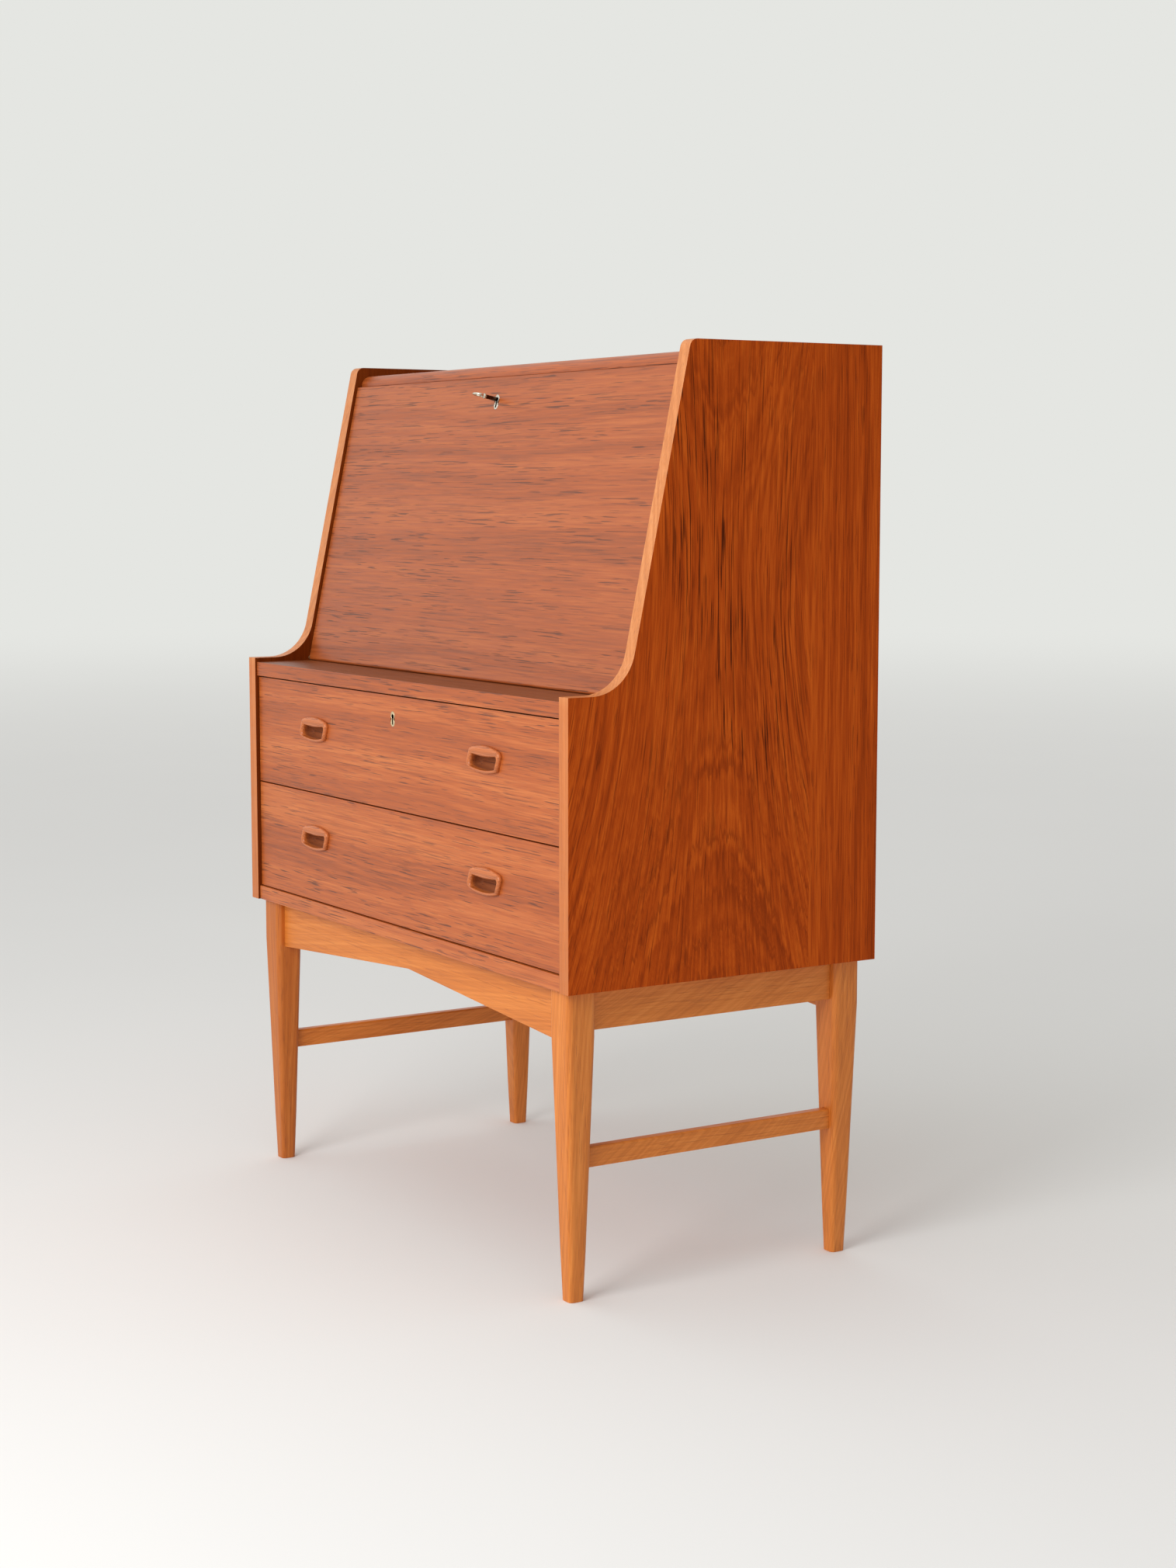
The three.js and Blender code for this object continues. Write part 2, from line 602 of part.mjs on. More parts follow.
for (const drawer of DRAWERS) {
  const { name, z0, z1, box0, box1 } = drawer;
  const frontBack = DRAWER_FRONT_Y + DRAWER_FRONT_T;
  const housingY = frontBack - FRONT_HOUSING;
  const panelZ = box0 + 8;
  const backY = DRAWER_REAR_Y - 18;
  const grooveZ = [drawer.groove - 8.5, drawer.groove + 8.5];
  const frontCuts = [
    box(-DRAWER_SIDE_IN_X - 1, DRAWER_SIDE_IN_X + 1, frontBack - 6, frontBack + 1, panelZ, panelZ + BOTTOM_T),
    pullHole(-1, drawer.pull),
    pullHole(1, drawer.pull),
  ];
  for (const side of [-1, 1]) {
    frontCuts.push(sideBox(side, DRAWER_SIDE_IN_X, DRAWER_SIDE_OUT_X, housingY, frontBack + 1, box0, box1));
  }
  if (drawer.lock) {
    const cuts = lockCuts(DRAWER_LOCK_X, DRAWER_LOCK_Z, DRAWER_FRONT_T, z1);
    cuts.forEach((tool) => tool.translate(0, DRAWER_FRONT_Y, 0));
    frontCuts.push(...cuts);
  }
  const blank = box(-DRAWER_FRONT_HALF_W, DRAWER_FRONT_HALF_W, DRAWER_FRONT_Y, frontBack, z0, z1);
  part(`${name}_drawer_front`, cut(blank, ...frontCuts), TEAK);

  for (const [label, side] of [['left', -1], ['right', 1]]) {
    const groove = sideBox(
      side, DRAWER_SIDE_OUT_X - RUNNER_GROOVE, DRAWER_SIDE_OUT_X + 1, RUNNER_FRONT_Y - 0.5, DRAWER_REAR_Y + 1, ...grooveZ,
    );
    const bottomGroove = sideBox(
      side, DRAWER_SIDE_IN_X - 1, DRAWER_SIDE_IN_X + BOTTOM_GROOVE, housingY - 1, DRAWER_REAR_Y + 1, panelZ, panelZ + BOTTOM_T,
    );
    const backDado = sideBox(side, DRAWER_SIDE_IN_X - 1, DRAWER_SIDE_IN_X + 3, backY, backY + 12, panelZ + BOTTOM_T, box1 + 1);
    const sideBlank = sideBox(side, DRAWER_SIDE_IN_X, DRAWER_SIDE_OUT_X, housingY, DRAWER_REAR_Y, box0, box1);
    part(`${name}_drawer_side_${label}`, cut(sideBlank, groove, bottomGroove, backDado), INNER_WOOD);
    part(`${name}_runner_${label}`, sideBox(
      side, INNER_X - 9, INNER_X, RUNNER_FRONT_Y, 196, drawer.groove - RUNNER_H / 2, drawer.groove + RUNNER_H / 2,
    ), OAK);
    part(`${name}_pull_${label}`, pull(side, drawer.pull), TEAK);
  }
  part(`${name}_drawer_back`, box(
    -DRAWER_SIDE_IN_X - 3, DRAWER_SIDE_IN_X + 3, backY, backY + 12, panelZ + BOTTOM_T, box1,
  ), INNER_WOOD);
  part(`${name}_drawer_bottom`, cut(
    box(
      -DRAWER_SIDE_IN_X - BOTTOM_GROOVE, DRAWER_SIDE_IN_X + BOTTOM_GROOVE,
      frontBack - 6, DRAWER_REAR_Y, panelZ, panelZ + BOTTOM_T,
    ),
    sideBox(-1, DRAWER_SIDE_IN_X + 1, DRAWER_SIDE_OUT_X, frontBack - 7, frontBack, panelZ - 1, panelZ + 6),
    sideBox(1, DRAWER_SIDE_IN_X + 1, DRAWER_SIDE_OUT_X, frontBack - 7, frontBack, panelZ - 1, panelZ + 6),
  ), PLYWOOD);
  if (drawer.lock) {
    const place = (geometry) => geometry.translate(0, DRAWER_FRONT_Y, 0);
    part('drawer_escutcheon', place(escutcheon(DRAWER_LOCK_X, DRAWER_LOCK_Z)), BRASS);
    part('drawer_lock_case', place(lockCase(DRAWER_LOCK_X, DRAWER_LOCK_Z, DRAWER_FRONT_T, z1, 629.5)), STEEL);
    part('drawer_lock_bolt', place(lockBolt(DRAWER_LOCK_X, DRAWER_FRONT_T, 630.4)), BRASS);
  }
}

// ---- stand ----
function legSection(sideX, sideY, z) {
  const t = Math.min(z / LEG_STRAIGHT_Z, 1) ** 0.9;
  const mix = (key2) => LEG_FOOT[key2] + (LEG_TOP[key2] - LEG_FOOT[key2]) * t;
  const outline = roundedRect(sideX * LEG_X, sideY * LEG_Y, mix('hx'), mix('hy'), mix('r'), 4);
  return outline.map(([x, y]) => [x, y, z]);
}

const LEG_INNER_Y = LEG_Y - LEG_TOP.hy;
const LEG_INNER_X = LEG_X - LEG_TOP.hx;
const SIDE_APRON_X = LEG_X + LEG_TOP.hx - APRON_RECESS;
const FRONT_APRON_Y = LEG_Y + LEG_TOP.hy - APRON_RECESS;

function sideApron(side) {
  const tenonX = SIDE_APRON_X - 14;
  return join(
    sideBox(side, SIDE_APRON_X - APRON_T, SIDE_APRON_X, -LEG_INNER_Y, LEG_INNER_Y, SIDE_APRON_Z, CASE_BOTTOM),
    sideBox(
      side, tenonX, tenonX + TENON_T, -LEG_INNER_Y - TENON_L, LEG_INNER_Y + TENON_L, SIDE_APRON_Z + 6, CASE_BOTTOM - 6,
    ),
  );
}

// front and rear aprons: the lower edge rises in two straight runs to the middle
function bowedApron(sideY) {
  const span = (half) => (sideY > 0 ? [FRONT_APRON_Y - half[1], FRONT_APRON_Y - half[0]]
    : [-FRONT_APRON_Y + half[0], -FRONT_APRON_Y + half[1]]);
  const board = prismY([
    [-LEG_INNER_X, BOW_END_Z],
    [0, BOW_MID_Z],
    [LEG_INNER_X, BOW_END_Z],
    [LEG_INNER_X, CASE_BOTTOM],
    [-LEG_INNER_X, CASE_BOTTOM],
  ], ...span([0, APRON_T]));
  const tenonEnd = LEG_INNER_X + TENON_L;
  const tenons = [-1, 1].map((side) => sideBox(
    side, LEG_INNER_X - 1, tenonEnd, ...span([6, 6 + TENON_T]), SIDE_APRON_Z, CASE_BOTTOM - 6,
  ));
  return join(board, ...tenons);
}

// side stretcher with a small bevel along its upper edges, housed in the legs
function stretcher(side) {
  const x0 = LEG_X - STRETCHER_T / 2;
  const x1 = LEG_X + STRETCHER_T / 2;
  const reach = LEG_Y - 8;
  const outline = [
    [x0, STRETCHER_Z0],
    [x1, STRETCHER_Z0],
    [x1, STRETCHER_Z1 - 2],
    [x1 - 2, STRETCHER_Z1],
    [x0 + 2, STRETCHER_Z1],
    [x0, STRETCHER_Z1 - 2],
  ];
  return prismY(outline.map(([x, z]) => [side * x, z]), -reach, reach);
}

for (const [end, sideY] of [['front', -1], ['rear', 1]]) {
  for (const [label, side] of [['left', -1], ['right', 1]]) {
    const heights = [0, 60, 120, 180, 240, LEG_STRAIGHT_Z, CASE_BOTTOM];
    const leg = loft(heights.map((z) => legSection(side, sideY, z)));
    part(`${end}_${label}_leg`, cut(leg, sideApron(side), bowedApron(sideY), stretcher(side)), OAK);

    // glue block in the corner behind the leg
    const corner = [
      [SIDE_APRON_X - APRON_T, LEG_INNER_Y],
      [SIDE_APRON_X - APRON_T, 112],
      [306, FRONT_APRON_Y - APRON_T],
      [LEG_INNER_X, FRONT_APRON_Y - APRON_T],
      [LEG_INNER_X, LEG_INNER_Y],
    ];
    const block = prismZ(corner.map(([x, y]) => [side * x, sideY * y]), BLOCK_Z, CASE_BOTTOM);
    part(`${end}_${label}_corner_block`, block, INNER_WOOD);
  }
  part(`${end}_apron`, bowedApron(sideY), OAK);
}
for (const [label, side] of [['left', -1], ['right', 1]]) {
  part(`${label}_apron`, sideApron(side), OAK);
  part(`${label}_stretcher`, stretcher(side), OAK);
}

export default desk;
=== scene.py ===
"""Secretary desk: the looks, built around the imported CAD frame.

Metres. +X to the right as seen from the front, the front faces -Y, +Z up, the floor at z = 0.
"""
import math

import bmesh
import bpy
from mathutils import Matrix, Vector


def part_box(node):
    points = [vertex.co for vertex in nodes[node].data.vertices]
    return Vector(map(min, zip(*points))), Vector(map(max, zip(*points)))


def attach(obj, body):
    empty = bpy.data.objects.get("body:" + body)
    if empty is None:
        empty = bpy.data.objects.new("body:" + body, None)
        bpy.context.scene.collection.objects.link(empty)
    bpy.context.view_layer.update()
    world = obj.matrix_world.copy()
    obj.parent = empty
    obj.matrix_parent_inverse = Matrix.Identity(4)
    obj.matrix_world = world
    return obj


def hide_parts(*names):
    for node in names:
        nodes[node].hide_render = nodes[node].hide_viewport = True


MM = 0.001

# ---- camera and light ----
CAMERA_PLACE = (2.7360, -1.6456, 0.8948)
CAMERA_YAW = 1.0110
CAMERA_PITCH = -0.1131
CAMERA_LENS = 59.08
SENSOR_HEIGHT = 36.0

BACKDROP = (0.783, 0.791, 0.761)
WORLD_BRIGHT = (1.02, 1.02, 1.00)
WORLD_DIM = (0.36, 0.35, 0.34)
WORLD_TOWARDS = (-0.62, -0.72, 0.30)
WINDOW_PLACE = (0.95, -2.30, 1.65)
WINDOW_AIM = (0.0, -0.1, 0.45)
WINDOW_SIZE = 1.3
WINDOW_POWER = 34.0
FLOOR_COLOR = (0.84, 0.84, 0.83)
FLOOR_SIZE = 60.0
FLOOR_FADE = (3.5, 14.0)

# ---- the desk's own lines, repeated from its CAD ----
RAKE_SLOPE = 0.2133
RAKE = math.atan(RAKE_SLOPE)
FLAP_ORIGIN = Vector((0.0, -0.13056, 0.67453))
DRAWER_FACE_Y = -0.205
FLAP_THICK = 0.018
FLAP_FRAME = Matrix.Translation(FLAP_ORIGIN) @ Matrix.Rotation(-RAKE, 4, "X")
PULL_X = 0.218
PULL_Z = {"upper": 0.5935, "lower": 0.454}
FLAP_LOCK = (-0.003, 0.3362)
DRAWER_LOCK = (-0.006, 0.6227)
SIDE_OUTER_X = 0.405
KEYHOLE_RISE = 3.0

# ---- edges and depths, metres ----
PANEL_EDGE = 0.9 * MM
SMALL_EDGE = 0.5 * MM
WELD_DISTANCE = 0.01 * MM
PORE_DEPTH = 0.2 * MM
SCRATCH_DEPTH = 0.03 * MM
# where painted shade starts down a keyhole's bore, and how far from the keyhole's centre it reaches
BORE_START = (0.6 * MM, 1.6 * MM)
BORE_REACH = (13.0 * MM, 14.0 * MM)
# painted shade in the pulls' finger holes, darkening from the first depth to the second along Y
PULL_HOLLOW_SHADE = (-1.8 * MM, 5.0 * MM)
LEDGE_LEVEL = (0.660, 0.684)

# ---- wood colours, linear ----
TEAK = {"dark": (0.230, 0.029, 0.002), "mid": (0.420, 0.060, 0.004), "light": (0.610, 0.112, 0.009),
        "streak": (0.045, 0.006, 0.001), "pore": (0.110, 0.013, 0.001)}
# painted shade: a darker copy of the teak for the side panels' faces towards the middle of the desk
TEAK_INNER_SHADE = {"dark": (0.090, 0.012, 0.001), "mid": (0.150, 0.024, 0.002), "light": (0.220, 0.042, 0.004),
              "streak": (0.040, 0.006, 0.001), "pore": (0.050, 0.008, 0.001)}
TEAK_FRONT = {"dark": (0.270, 0.054, 0.009), "mid": (0.450, 0.098, 0.015), "light": (0.640, 0.185, 0.042),
              "streak": (0.130, 0.028, 0.007), "pore": (0.110, 0.024, 0.006)}
TEAK_FLAP = {"dark": (0.210, 0.046, 0.008), "mid": (0.380, 0.082, 0.014), "light": (0.520, 0.145, 0.034),
             "streak": (0.120, 0.028, 0.008), "pore": (0.100, 0.024, 0.007)}
# painted shade: a darker copy of the teak for the ledge's top face, which gets little light from above
TEAK_LEDGE_SHADE = {"dark": (0.130, 0.034, 0.008), "mid": (0.220, 0.058, 0.014), "light": (0.310, 0.094, 0.026),
              "streak": (0.080, 0.020, 0.006), "pore": (0.070, 0.018, 0.005)}
TEAK_PULL = {"dark": (0.360, 0.080, 0.014), "mid": (0.560, 0.150, 0.034), "light": (0.700, 0.230, 0.066),
             "streak": (0.130, 0.030, 0.008), "pore": (0.150, 0.034, 0.009)}
LIPPING = {"dark": (0.400, 0.095, 0.018), "mid": (0.560, 0.160, 0.034), "light": (0.720, 0.250, 0.070),
           "streak": (0.280, 0.070, 0.016), "pore": (0.240, 0.060, 0.014)}
OAK = {"dark": (0.470, 0.122, 0.014), "mid": (0.640, 0.188, 0.027), "light": (0.780, 0.270, 0.052),
       "streak": (0.340, 0.085, 0.010), "pore": (0.340, 0.082, 0.010)}
# painted shade: factors that darken the front left leg's oak, as if the light fell off towards the left
LEG_SHADE_TONE = (0.80, 0.72, 0.60)
# painted shade: near black down the keyholes' bores
BORE_SHADE_BLACK = (0.010, 0.004, 0.002)
# painted light: factors that lighten the edge wood above the ledge, where more light falls on the raked
# edges; the first leaves it as it is
NO_PAINTED_LIGHT = (1.0, 1.0, 1.0)
LIPPING_PAINTED_LIGHT = (1.10, 1.32, 1.65)
BEECH = {"dark": (0.520, 0.330, 0.170), "mid": (0.620, 0.430, 0.240), "light": (0.700, 0.510, 0.310),
         "streak": (0.450, 0.280, 0.140), "pore": (0.420, 0.260, 0.130)}
PLY = {"dark": (0.420, 0.250, 0.120), "mid": (0.540, 0.350, 0.180), "light": (0.620, 0.430, 0.240),
       "streak": (0.360, 0.200, 0.090), "pore": (0.320, 0.180, 0.080)}

# Figure. centre: the heart of the log, across the face and into the board, from the grain origin.
# ring: spacing of the growth rings. sweep: how fast the rings run off along the grain, and where they
# turn. ragged: how far neighbouring fibres slip. fan: where the fibres draw together, over what length
# they spread, and how much. heart: half width, middle and half length of the part with most streaks.
# seam: where the next leaf of veneer starts. leaf: which slice of the log a fan's fibres are read from.
# pore_size and streak_size: how many per metre along and across. The others are strengths.
FIGURE_PLAIN = {"centre": (0.0, 0.9), "ring": 0.0052, "sweep": (0.0, 0.0), "warp": 0.010, "ragged": 0.0,
                "fan": None, "heart": None, "seam": None, "pore_size": (20.0, 620.0),
                "streak_size": (12.0, 520.0), "bands": 0.30, "broad": 0.75, "grain": 0.42,
                "streaks": 0.38, "pores": 0.85, "fibres": 0.75, "mottle": 0.30}
FIGURE_CROWN = {"centre": (0.0, 0.05), "ring": 0.0085, "sweep": (0.62, 0.80), "warp": 0.012,
                "ragged": 0.05, "fan": (0.84, 0.40, 0.50), "heart": (0.055, 0.80, 0.17), "seam": None,
                "leaf": 0.21, "pore_size": (22.0, 700.0), "streak_size": (9.0, 400.0),
                "bands": 0.45, "broad": 0.30, "grain": 0.50, "streaks": 0.90, "pores": 0.55,
                "fibres": 1.00, "mottle": 0.35}
FIGURE_OAK = {"centre": (0.0, 0.25), "ring": 0.0032, "sweep": (0.02, 0.0), "warp": 0.004, "ragged": 0.0,
              "fan": None, "heart": None, "seam": None, "pore_size": (26.0, 640.0),
              "streak_size": (9.0, 300.0), "bands": 0.45, "broad": 0.45, "grain": 0.45,
              "streaks": 0.12, "pores": 0.45, "fibres": 0.6, "mottle": 0.35}
FIGURE_FINE = {"centre": (0.0, 0.6), "ring": 0.0040, "sweep": (0.0, 0.0), "warp": 0.004, "ragged": 0.0,
               "fan": None, "heart": None, "seam": None, "pore_size": (24.0, 600.0),
               "streak_size": (9.0, 300.0), "bands": 0.40, "broad": 0.20, "grain": 0.30,
               "streaks": 0.10, "pores": 0.35, "fibres": 0.5, "mottle": 0.25}
FIGURE_CALM = dict(FIGURE_PLAIN, bands=0.22, broad=0.55, grain=0.30, streaks=0.26)
FIGURE_RIGHT_SIDE = dict(FIGURE_CROWN, centre=(-0.012, 0.05 - SIDE_OUTER_X), seam=0.113)
FIGURE_LEFT_SIDE = dict(FIGURE_CROWN, leaf=0.83)


# ---- node tree helper ----
class Tree:
    """Adds nodes to a material or world tree. Most methods return the new node's output socket."""

    def __init__(self, tree):
        self.tree = tree
        tree.nodes.clear()

    def node(self, kind, inputs=None, **settings):
        made = self.tree.nodes.new(kind)
        for key, value in settings.items():
            setattr(made, key, value)
        for key, value in (inputs or {}).items():
            self.feed(made.inputs[key], value)
        return made

    def feed(self, socket, value):
        if isinstance(value, bpy.types.NodeSocket):
            self.tree.links.new(value, socket)
        else:
            socket.default_value = value

    def math(self, operation, a, b=0.0, clamp=False):
        return self.node("ShaderNodeMath", {0: a, 1: b}, operation=operation, use_clamp=clamp).outputs[0]

    def vector(self, operation, a, b):
        return self.node("ShaderNodeVectorMath", {0: a, 1: b}, operation=operation).outputs[0]

    def scaled_noise(self, vector, scale, detail=2.0, roughness=0.5):
        """3D noise on coordinates multiplied by a different number along each axis."""
        place = self.vector("MULTIPLY", vector, scale)
        inputs = {"Vector": place, "Scale": 1.0, "Detail": detail, "Roughness": roughness}
        return self.node("ShaderNodeTexNoise", inputs, noise_dimensions="3D").outputs["Fac"]

    def line_noise(self, value, detail=2.0, roughness=0.5):
        """1D noise: bands of uneven width wherever the value climbs."""
        inputs = {"W": value, "Scale": 1.0, "Detail": detail, "Roughness": roughness}
        return self.node("ShaderNodeTexNoise", inputs, noise_dimensions="1D").outputs["Fac"]

    def centered(self, value, strength):
        """A 0 to 1 value brought to swing about zero."""
        return self.math("MULTIPLY", self.math("SUBTRACT", value, 0.5), strength)

    def blend(self, factor, a, b):
        """A number that goes from a to b with the factor."""
        made = self.node("ShaderNodeMix", data_type="FLOAT")
        for socket, value in zip(made.inputs[:4], (factor, None, a, b)):
            if value is not None:
                self.feed(socket, value)
        return made.outputs[0]

    def step(self, value, low, high, to_low=0.0, to_high=1.0):
        """A smooth step from to_low to to_high while the value goes from low to high."""
        inputs = {"Value": value, "From Min": low, "From Max": high, "To Min": to_low, "To Max": to_high}
        made = self.node("ShaderNodeMapRange", inputs, interpolation_type="SMOOTHSTEP")
        return made.outputs["Result"]

    def mix(self, factor, a, b, blend="MIX"):
        made = self.node("ShaderNodeMix", data_type="RGBA", blend_type=blend)
        self.feed(made.inputs["Factor"], factor)
        color_inputs = [socket for socket in made.inputs if socket.type == "RGBA"]
        self.feed(color_inputs[0], as_color(a))
        self.feed(color_inputs[1], as_color(b))
        return [socket for socket in made.outputs if socket.type == "RGBA"][0]


def as_color(value):
    """A colour with its alpha, from three numbers. Sockets pass through."""
    if isinstance(value, tuple) and len(value) == 3:
        return (*value, 1.0)
    return value


def toned(palette, factors):
    """The same wood with each of its colours multiplied by the factors."""
    return {key: tuple(a * b for a, b in zip(color, factors)) for key, color in palette.items()}


def new_material(name):
    material = bpy.data.materials.new(name)
    material.use_nodes = True
    return material, Tree(material.node_tree)


def shader_node(tree, color, roughness, bump=None, metallic=0.0, specular=0.5, depth=PORE_DEPTH):
    """One Principled shader. Specular and metallic are plain numbers on its own sockets."""
    shader = tree.node("ShaderNodeBsdfPrincipled")
    tree.feed(shader.inputs["Base Color"], as_color(color))
    tree.feed(shader.inputs["Roughness"], roughness)
    shader.inputs["Metallic"].default_value = metallic
    shader.inputs["Specular IOR Level"].default_value = specular
    if bump is not None:
        made = tree.node("ShaderNodeBump", {"Height": bump, "Strength": 0.6, "Distance": depth})
        tree.feed(shader.inputs["Normal"], made.outputs["Normal"])
    return shader.outputs["BSDF"]


def finish_material(tree, surface):
    tree.node("ShaderNodeOutputMaterial", {"Surface": surface})


# ---- wood ----
def grain_space(tree, order, offset, tilt):
    """Object coordinates reordered: X along the grain, Y across the face, Z into the board."""
    place = tree.node("ShaderNodeTexCoord").outputs["Object"]
    if tilt:
        turned = tree.node("ShaderNodeMapping", {"Vector": place, "Rotation": (tilt, 0.0, 0.0)})
        place = turned.outputs["Vector"]
    apart = tree.node("ShaderNodeSeparateXYZ", {"Vector": place})
    picked = [apart.outputs["XYZ".index(axis)] for axis in order]
    joined = tree.node("ShaderNodeCombineXYZ", dict(zip("XYZ", picked))).outputs["Vector"]
    return tree.vector("ADD", joined, offset)


def ring_radius(tree, place, along, across, into, figure):
    """Distance from the heart of the log, with drift, ragged fibres and the run-off along the grain."""
    center_across, center_depth = figure["centre"]
    drift = tree.centered(tree.scaled_noise(place, (1.6, 7.0, 7.0), detail=1.5), 5.0 * figure["warp"])
    wobble = tree.centered(tree.scaled_noise(place, (7.0, 34.0, 34.0)), 0.7 * figure["warp"])
    side = tree.math("SUBTRACT", across, center_across)
    depth = tree.math("ADD", into, center_depth)
    squares = tree.math("ADD", tree.math("MULTIPLY", side, side), tree.math("MULTIPLY", depth, depth))
    radius = tree.math("ADD", tree.math("SQRT", squares), tree.math("ADD", drift, wobble))
    sweep, turn = figure["sweep"]
    if sweep:
        slip = tree.centered(tree.scaled_noise(place, (7.0, 260.0, 260.0), detail=2.0), figure["ragged"])
        run = tree.math("ADD", tree.math("SUBTRACT", along, turn), slip)
        run_off = tree.math("MULTIPLY", tree.math("MULTIPLY", run, run), sweep)
        radius = tree.math("SUBTRACT", radius, run_off)
    if figure["seam"] is not None:
        next_leaf = tree.math("GREATER_THAN", across, figure["seam"])
        plain = tree.math("ADD", tree.math("MULTIPLY", across, 0.7), drift)
        radius = tree.blend(next_leaf, radius, plain)
    return radius


def fan_out(tree, place, along, across, figure):
    """Grain coordinates whose lines draw together at a waist and spread above and below it."""
    waist, reach, spread = figure["fan"]
    center = figure["centre"][0]
    run = tree.math("DIVIDE", tree.math("SUBTRACT", along, waist), reach)
    widen = tree.math("ADD", tree.math("MULTIPLY", tree.math("MULTIPLY", run, run), spread), 1.0)
    drift = tree.centered(tree.scaled_noise(place, (3.0, 13.0, 13.0), detail=1.0), 0.020)
    line = tree.math("DIVIDE", tree.math("SUBTRACT", tree.math("ADD", across, drift), center), widen)
    if figure["seam"] is not None:
        next_leaf = tree.math("GREATER_THAN", across, figure["seam"])
        line = tree.blend(next_leaf, line, across)
    return tree.node("ShaderNodeCombineXYZ", {"X": along, "Y": line, "Z": figure["leaf"]}).outputs["Vector"]


def streak_mask(tree, lines, place, along, across, figure):
    """Thin near-black lines that follow the fibres and break up along the grain."""
    long_way, cross_way = figure["streak_size"]
    marks = tree.scaled_noise(lines, (long_way, cross_way, cross_way), detail=2.0, roughness=0.55)
    patches = tree.scaled_noise(place, (3.5, 26.0, 26.0), detail=2.0)
    streak = tree.math("MULTIPLY", tree.step(marks, 0.55, 0.62), tree.step(patches, 0.42, 0.58, 0.05, 1.0))
    if figure["heart"]:
        half_width, middle, half_length = figure["heart"]
        side = tree.math("ABSOLUTE", tree.math("SUBTRACT", across, figure["centre"][0]))
        run = tree.math("ABSOLUTE", tree.math("SUBTRACT", along, middle))
        near = tree.math("MULTIPLY",
                         tree.step(side, half_width, 2.6 * half_width, 1.0, 0.22),
                         tree.step(run, half_length, 1.8 * half_length, 1.0, 0.15))
        streak = tree.math("MULTIPLY", streak, near)
    return streak


def arch_mask(tree, along, across, radius, figure):
    """Ragged dark arches where the rings run out, away from the middle of the crown."""
    half_width, middle, half_length = figure["heart"]
    reach = tree.node("ShaderNodeCombineXYZ", {"X": across, "Y": radius, "Z": 0.37}).outputs["Vector"]
    arches = tree.scaled_noise(reach, (9.0, 170.0, 1.0), detail=2.0, roughness=0.6)
    run = tree.math("ABSOLUTE", tree.math("SUBTRACT", along, middle))
    side = tree.math("ABSOLUTE", tree.math("SUBTRACT", across, figure["centre"][0]))
    far = tree.math("MULTIPLY", tree.step(run, 0.75 * half_length, 1.4 * half_length),
                    tree.step(side, 2.2 * half_width, 3.4 * half_width, 1.0, 0.0))
    return tree.math("MULTIPLY", tree.step(arches, 0.54, 0.68), far)


def wood_color(tree, place, palette, figure):
    """The colour of a slice through a log, a height for the pores, and the fibres."""
    apart = tree.node("ShaderNodeSeparateXYZ", {"Vector": place})
    along, across, into = (apart.outputs[axis] for axis in "XYZ")
    radius = ring_radius(tree, place, along, across, into, figure)
    rings = tree.math("DIVIDE", radius, figure["ring"])
    lines = fan_out(tree, place, along, across, figure) if figure["fan"] else place

    bands = tree.step(tree.line_noise(rings, detail=2.5, roughness=0.62), 0.28, 0.72)
    broad = tree.step(tree.line_noise(tree.math("MULTIPLY", rings, 0.16), detail=1.0), 0.30, 0.70)
    fibres = tree.scaled_noise(lines, (14.0, 560.0, 560.0), detail=2.0, roughness=0.6)
    grain = tree.scaled_noise(lines, (5.0, 260.0, 260.0), detail=2.5, roughness=0.6)
    mottle = tree.scaled_noise(place, (3.0, 16.0, 16.0), detail=3.0)
    tone = tree.centered(bands, 0.55 * figure["bands"])
    tone = tree.math("ADD", tone, tree.centered(broad, 0.35 * figure["broad"]))
    tone = tree.math("ADD", tone, tree.centered(fibres, figure["fibres"]))
    tone = tree.math("ADD", tone, tree.centered(grain, figure["grain"]))
    tone = tree.math("ADD", tone, tree.centered(mottle, figure["mottle"]))
    low = tree.mix(tree.math("MULTIPLY", tone, -2.4, clamp=True), palette["mid"], palette["dark"])
    color = tree.mix(tree.math("MULTIPLY", tone, 2.4, clamp=True), low, palette["light"])

    if figure["heart"]:
        arches = arch_mask(tree, along, across, radius, figure)
        color = tree.mix(tree.math("MULTIPLY", arches, 0.55), color, palette["dark"])
    streak = streak_mask(tree, lines, place, along, across, figure)
    color = tree.mix(tree.math("MULTIPLY", streak, figure["streaks"]), color, palette["streak"])

    long_way, cross_way = figure["pore_size"]
    dashes = tree.scaled_noise(lines, (long_way, cross_way, cross_way), detail=1.0)
    where = tree.scaled_noise(place, (5.0, 60.0, 60.0), detail=1.0)
    pores = tree.math("MULTIPLY", tree.step(dashes, 0.60, 0.67), tree.step(where, 0.35, 0.65, 0.35, 1.0))
    color = tree.mix(tree.math("MULTIPLY", pores, figure["pores"]), color, palette["pore"])
    height = tree.math("SUBTRACT", tree.math("MULTIPLY", fibres, 0.35), pores)
    return color, height, fibres


def bore_shade_mask(tree, center, inwards):
    """Painted shade in a keyhole: one inside the keyhole that runs inwards from its centre on the face, zero
    on the face.
    """
    place = tree.node("ShaderNodeTexCoord").outputs["Object"]
    away = tree.vector("SUBTRACT", place, center)
    depth = tree.node("ShaderNodeVectorMath", {0: away, 1: inwards}, operation="DOT_PRODUCT").outputs["Value"]
    aside = tree.vector("CROSS_PRODUCT", away, inwards)
    distance = tree.node("ShaderNodeVectorMath", {0: aside}, operation="LENGTH").outputs["Value"]
    return tree.math("MULTIPLY", tree.step(depth, *BORE_START), tree.step(distance, *BORE_REACH, 1.0, 0.0))


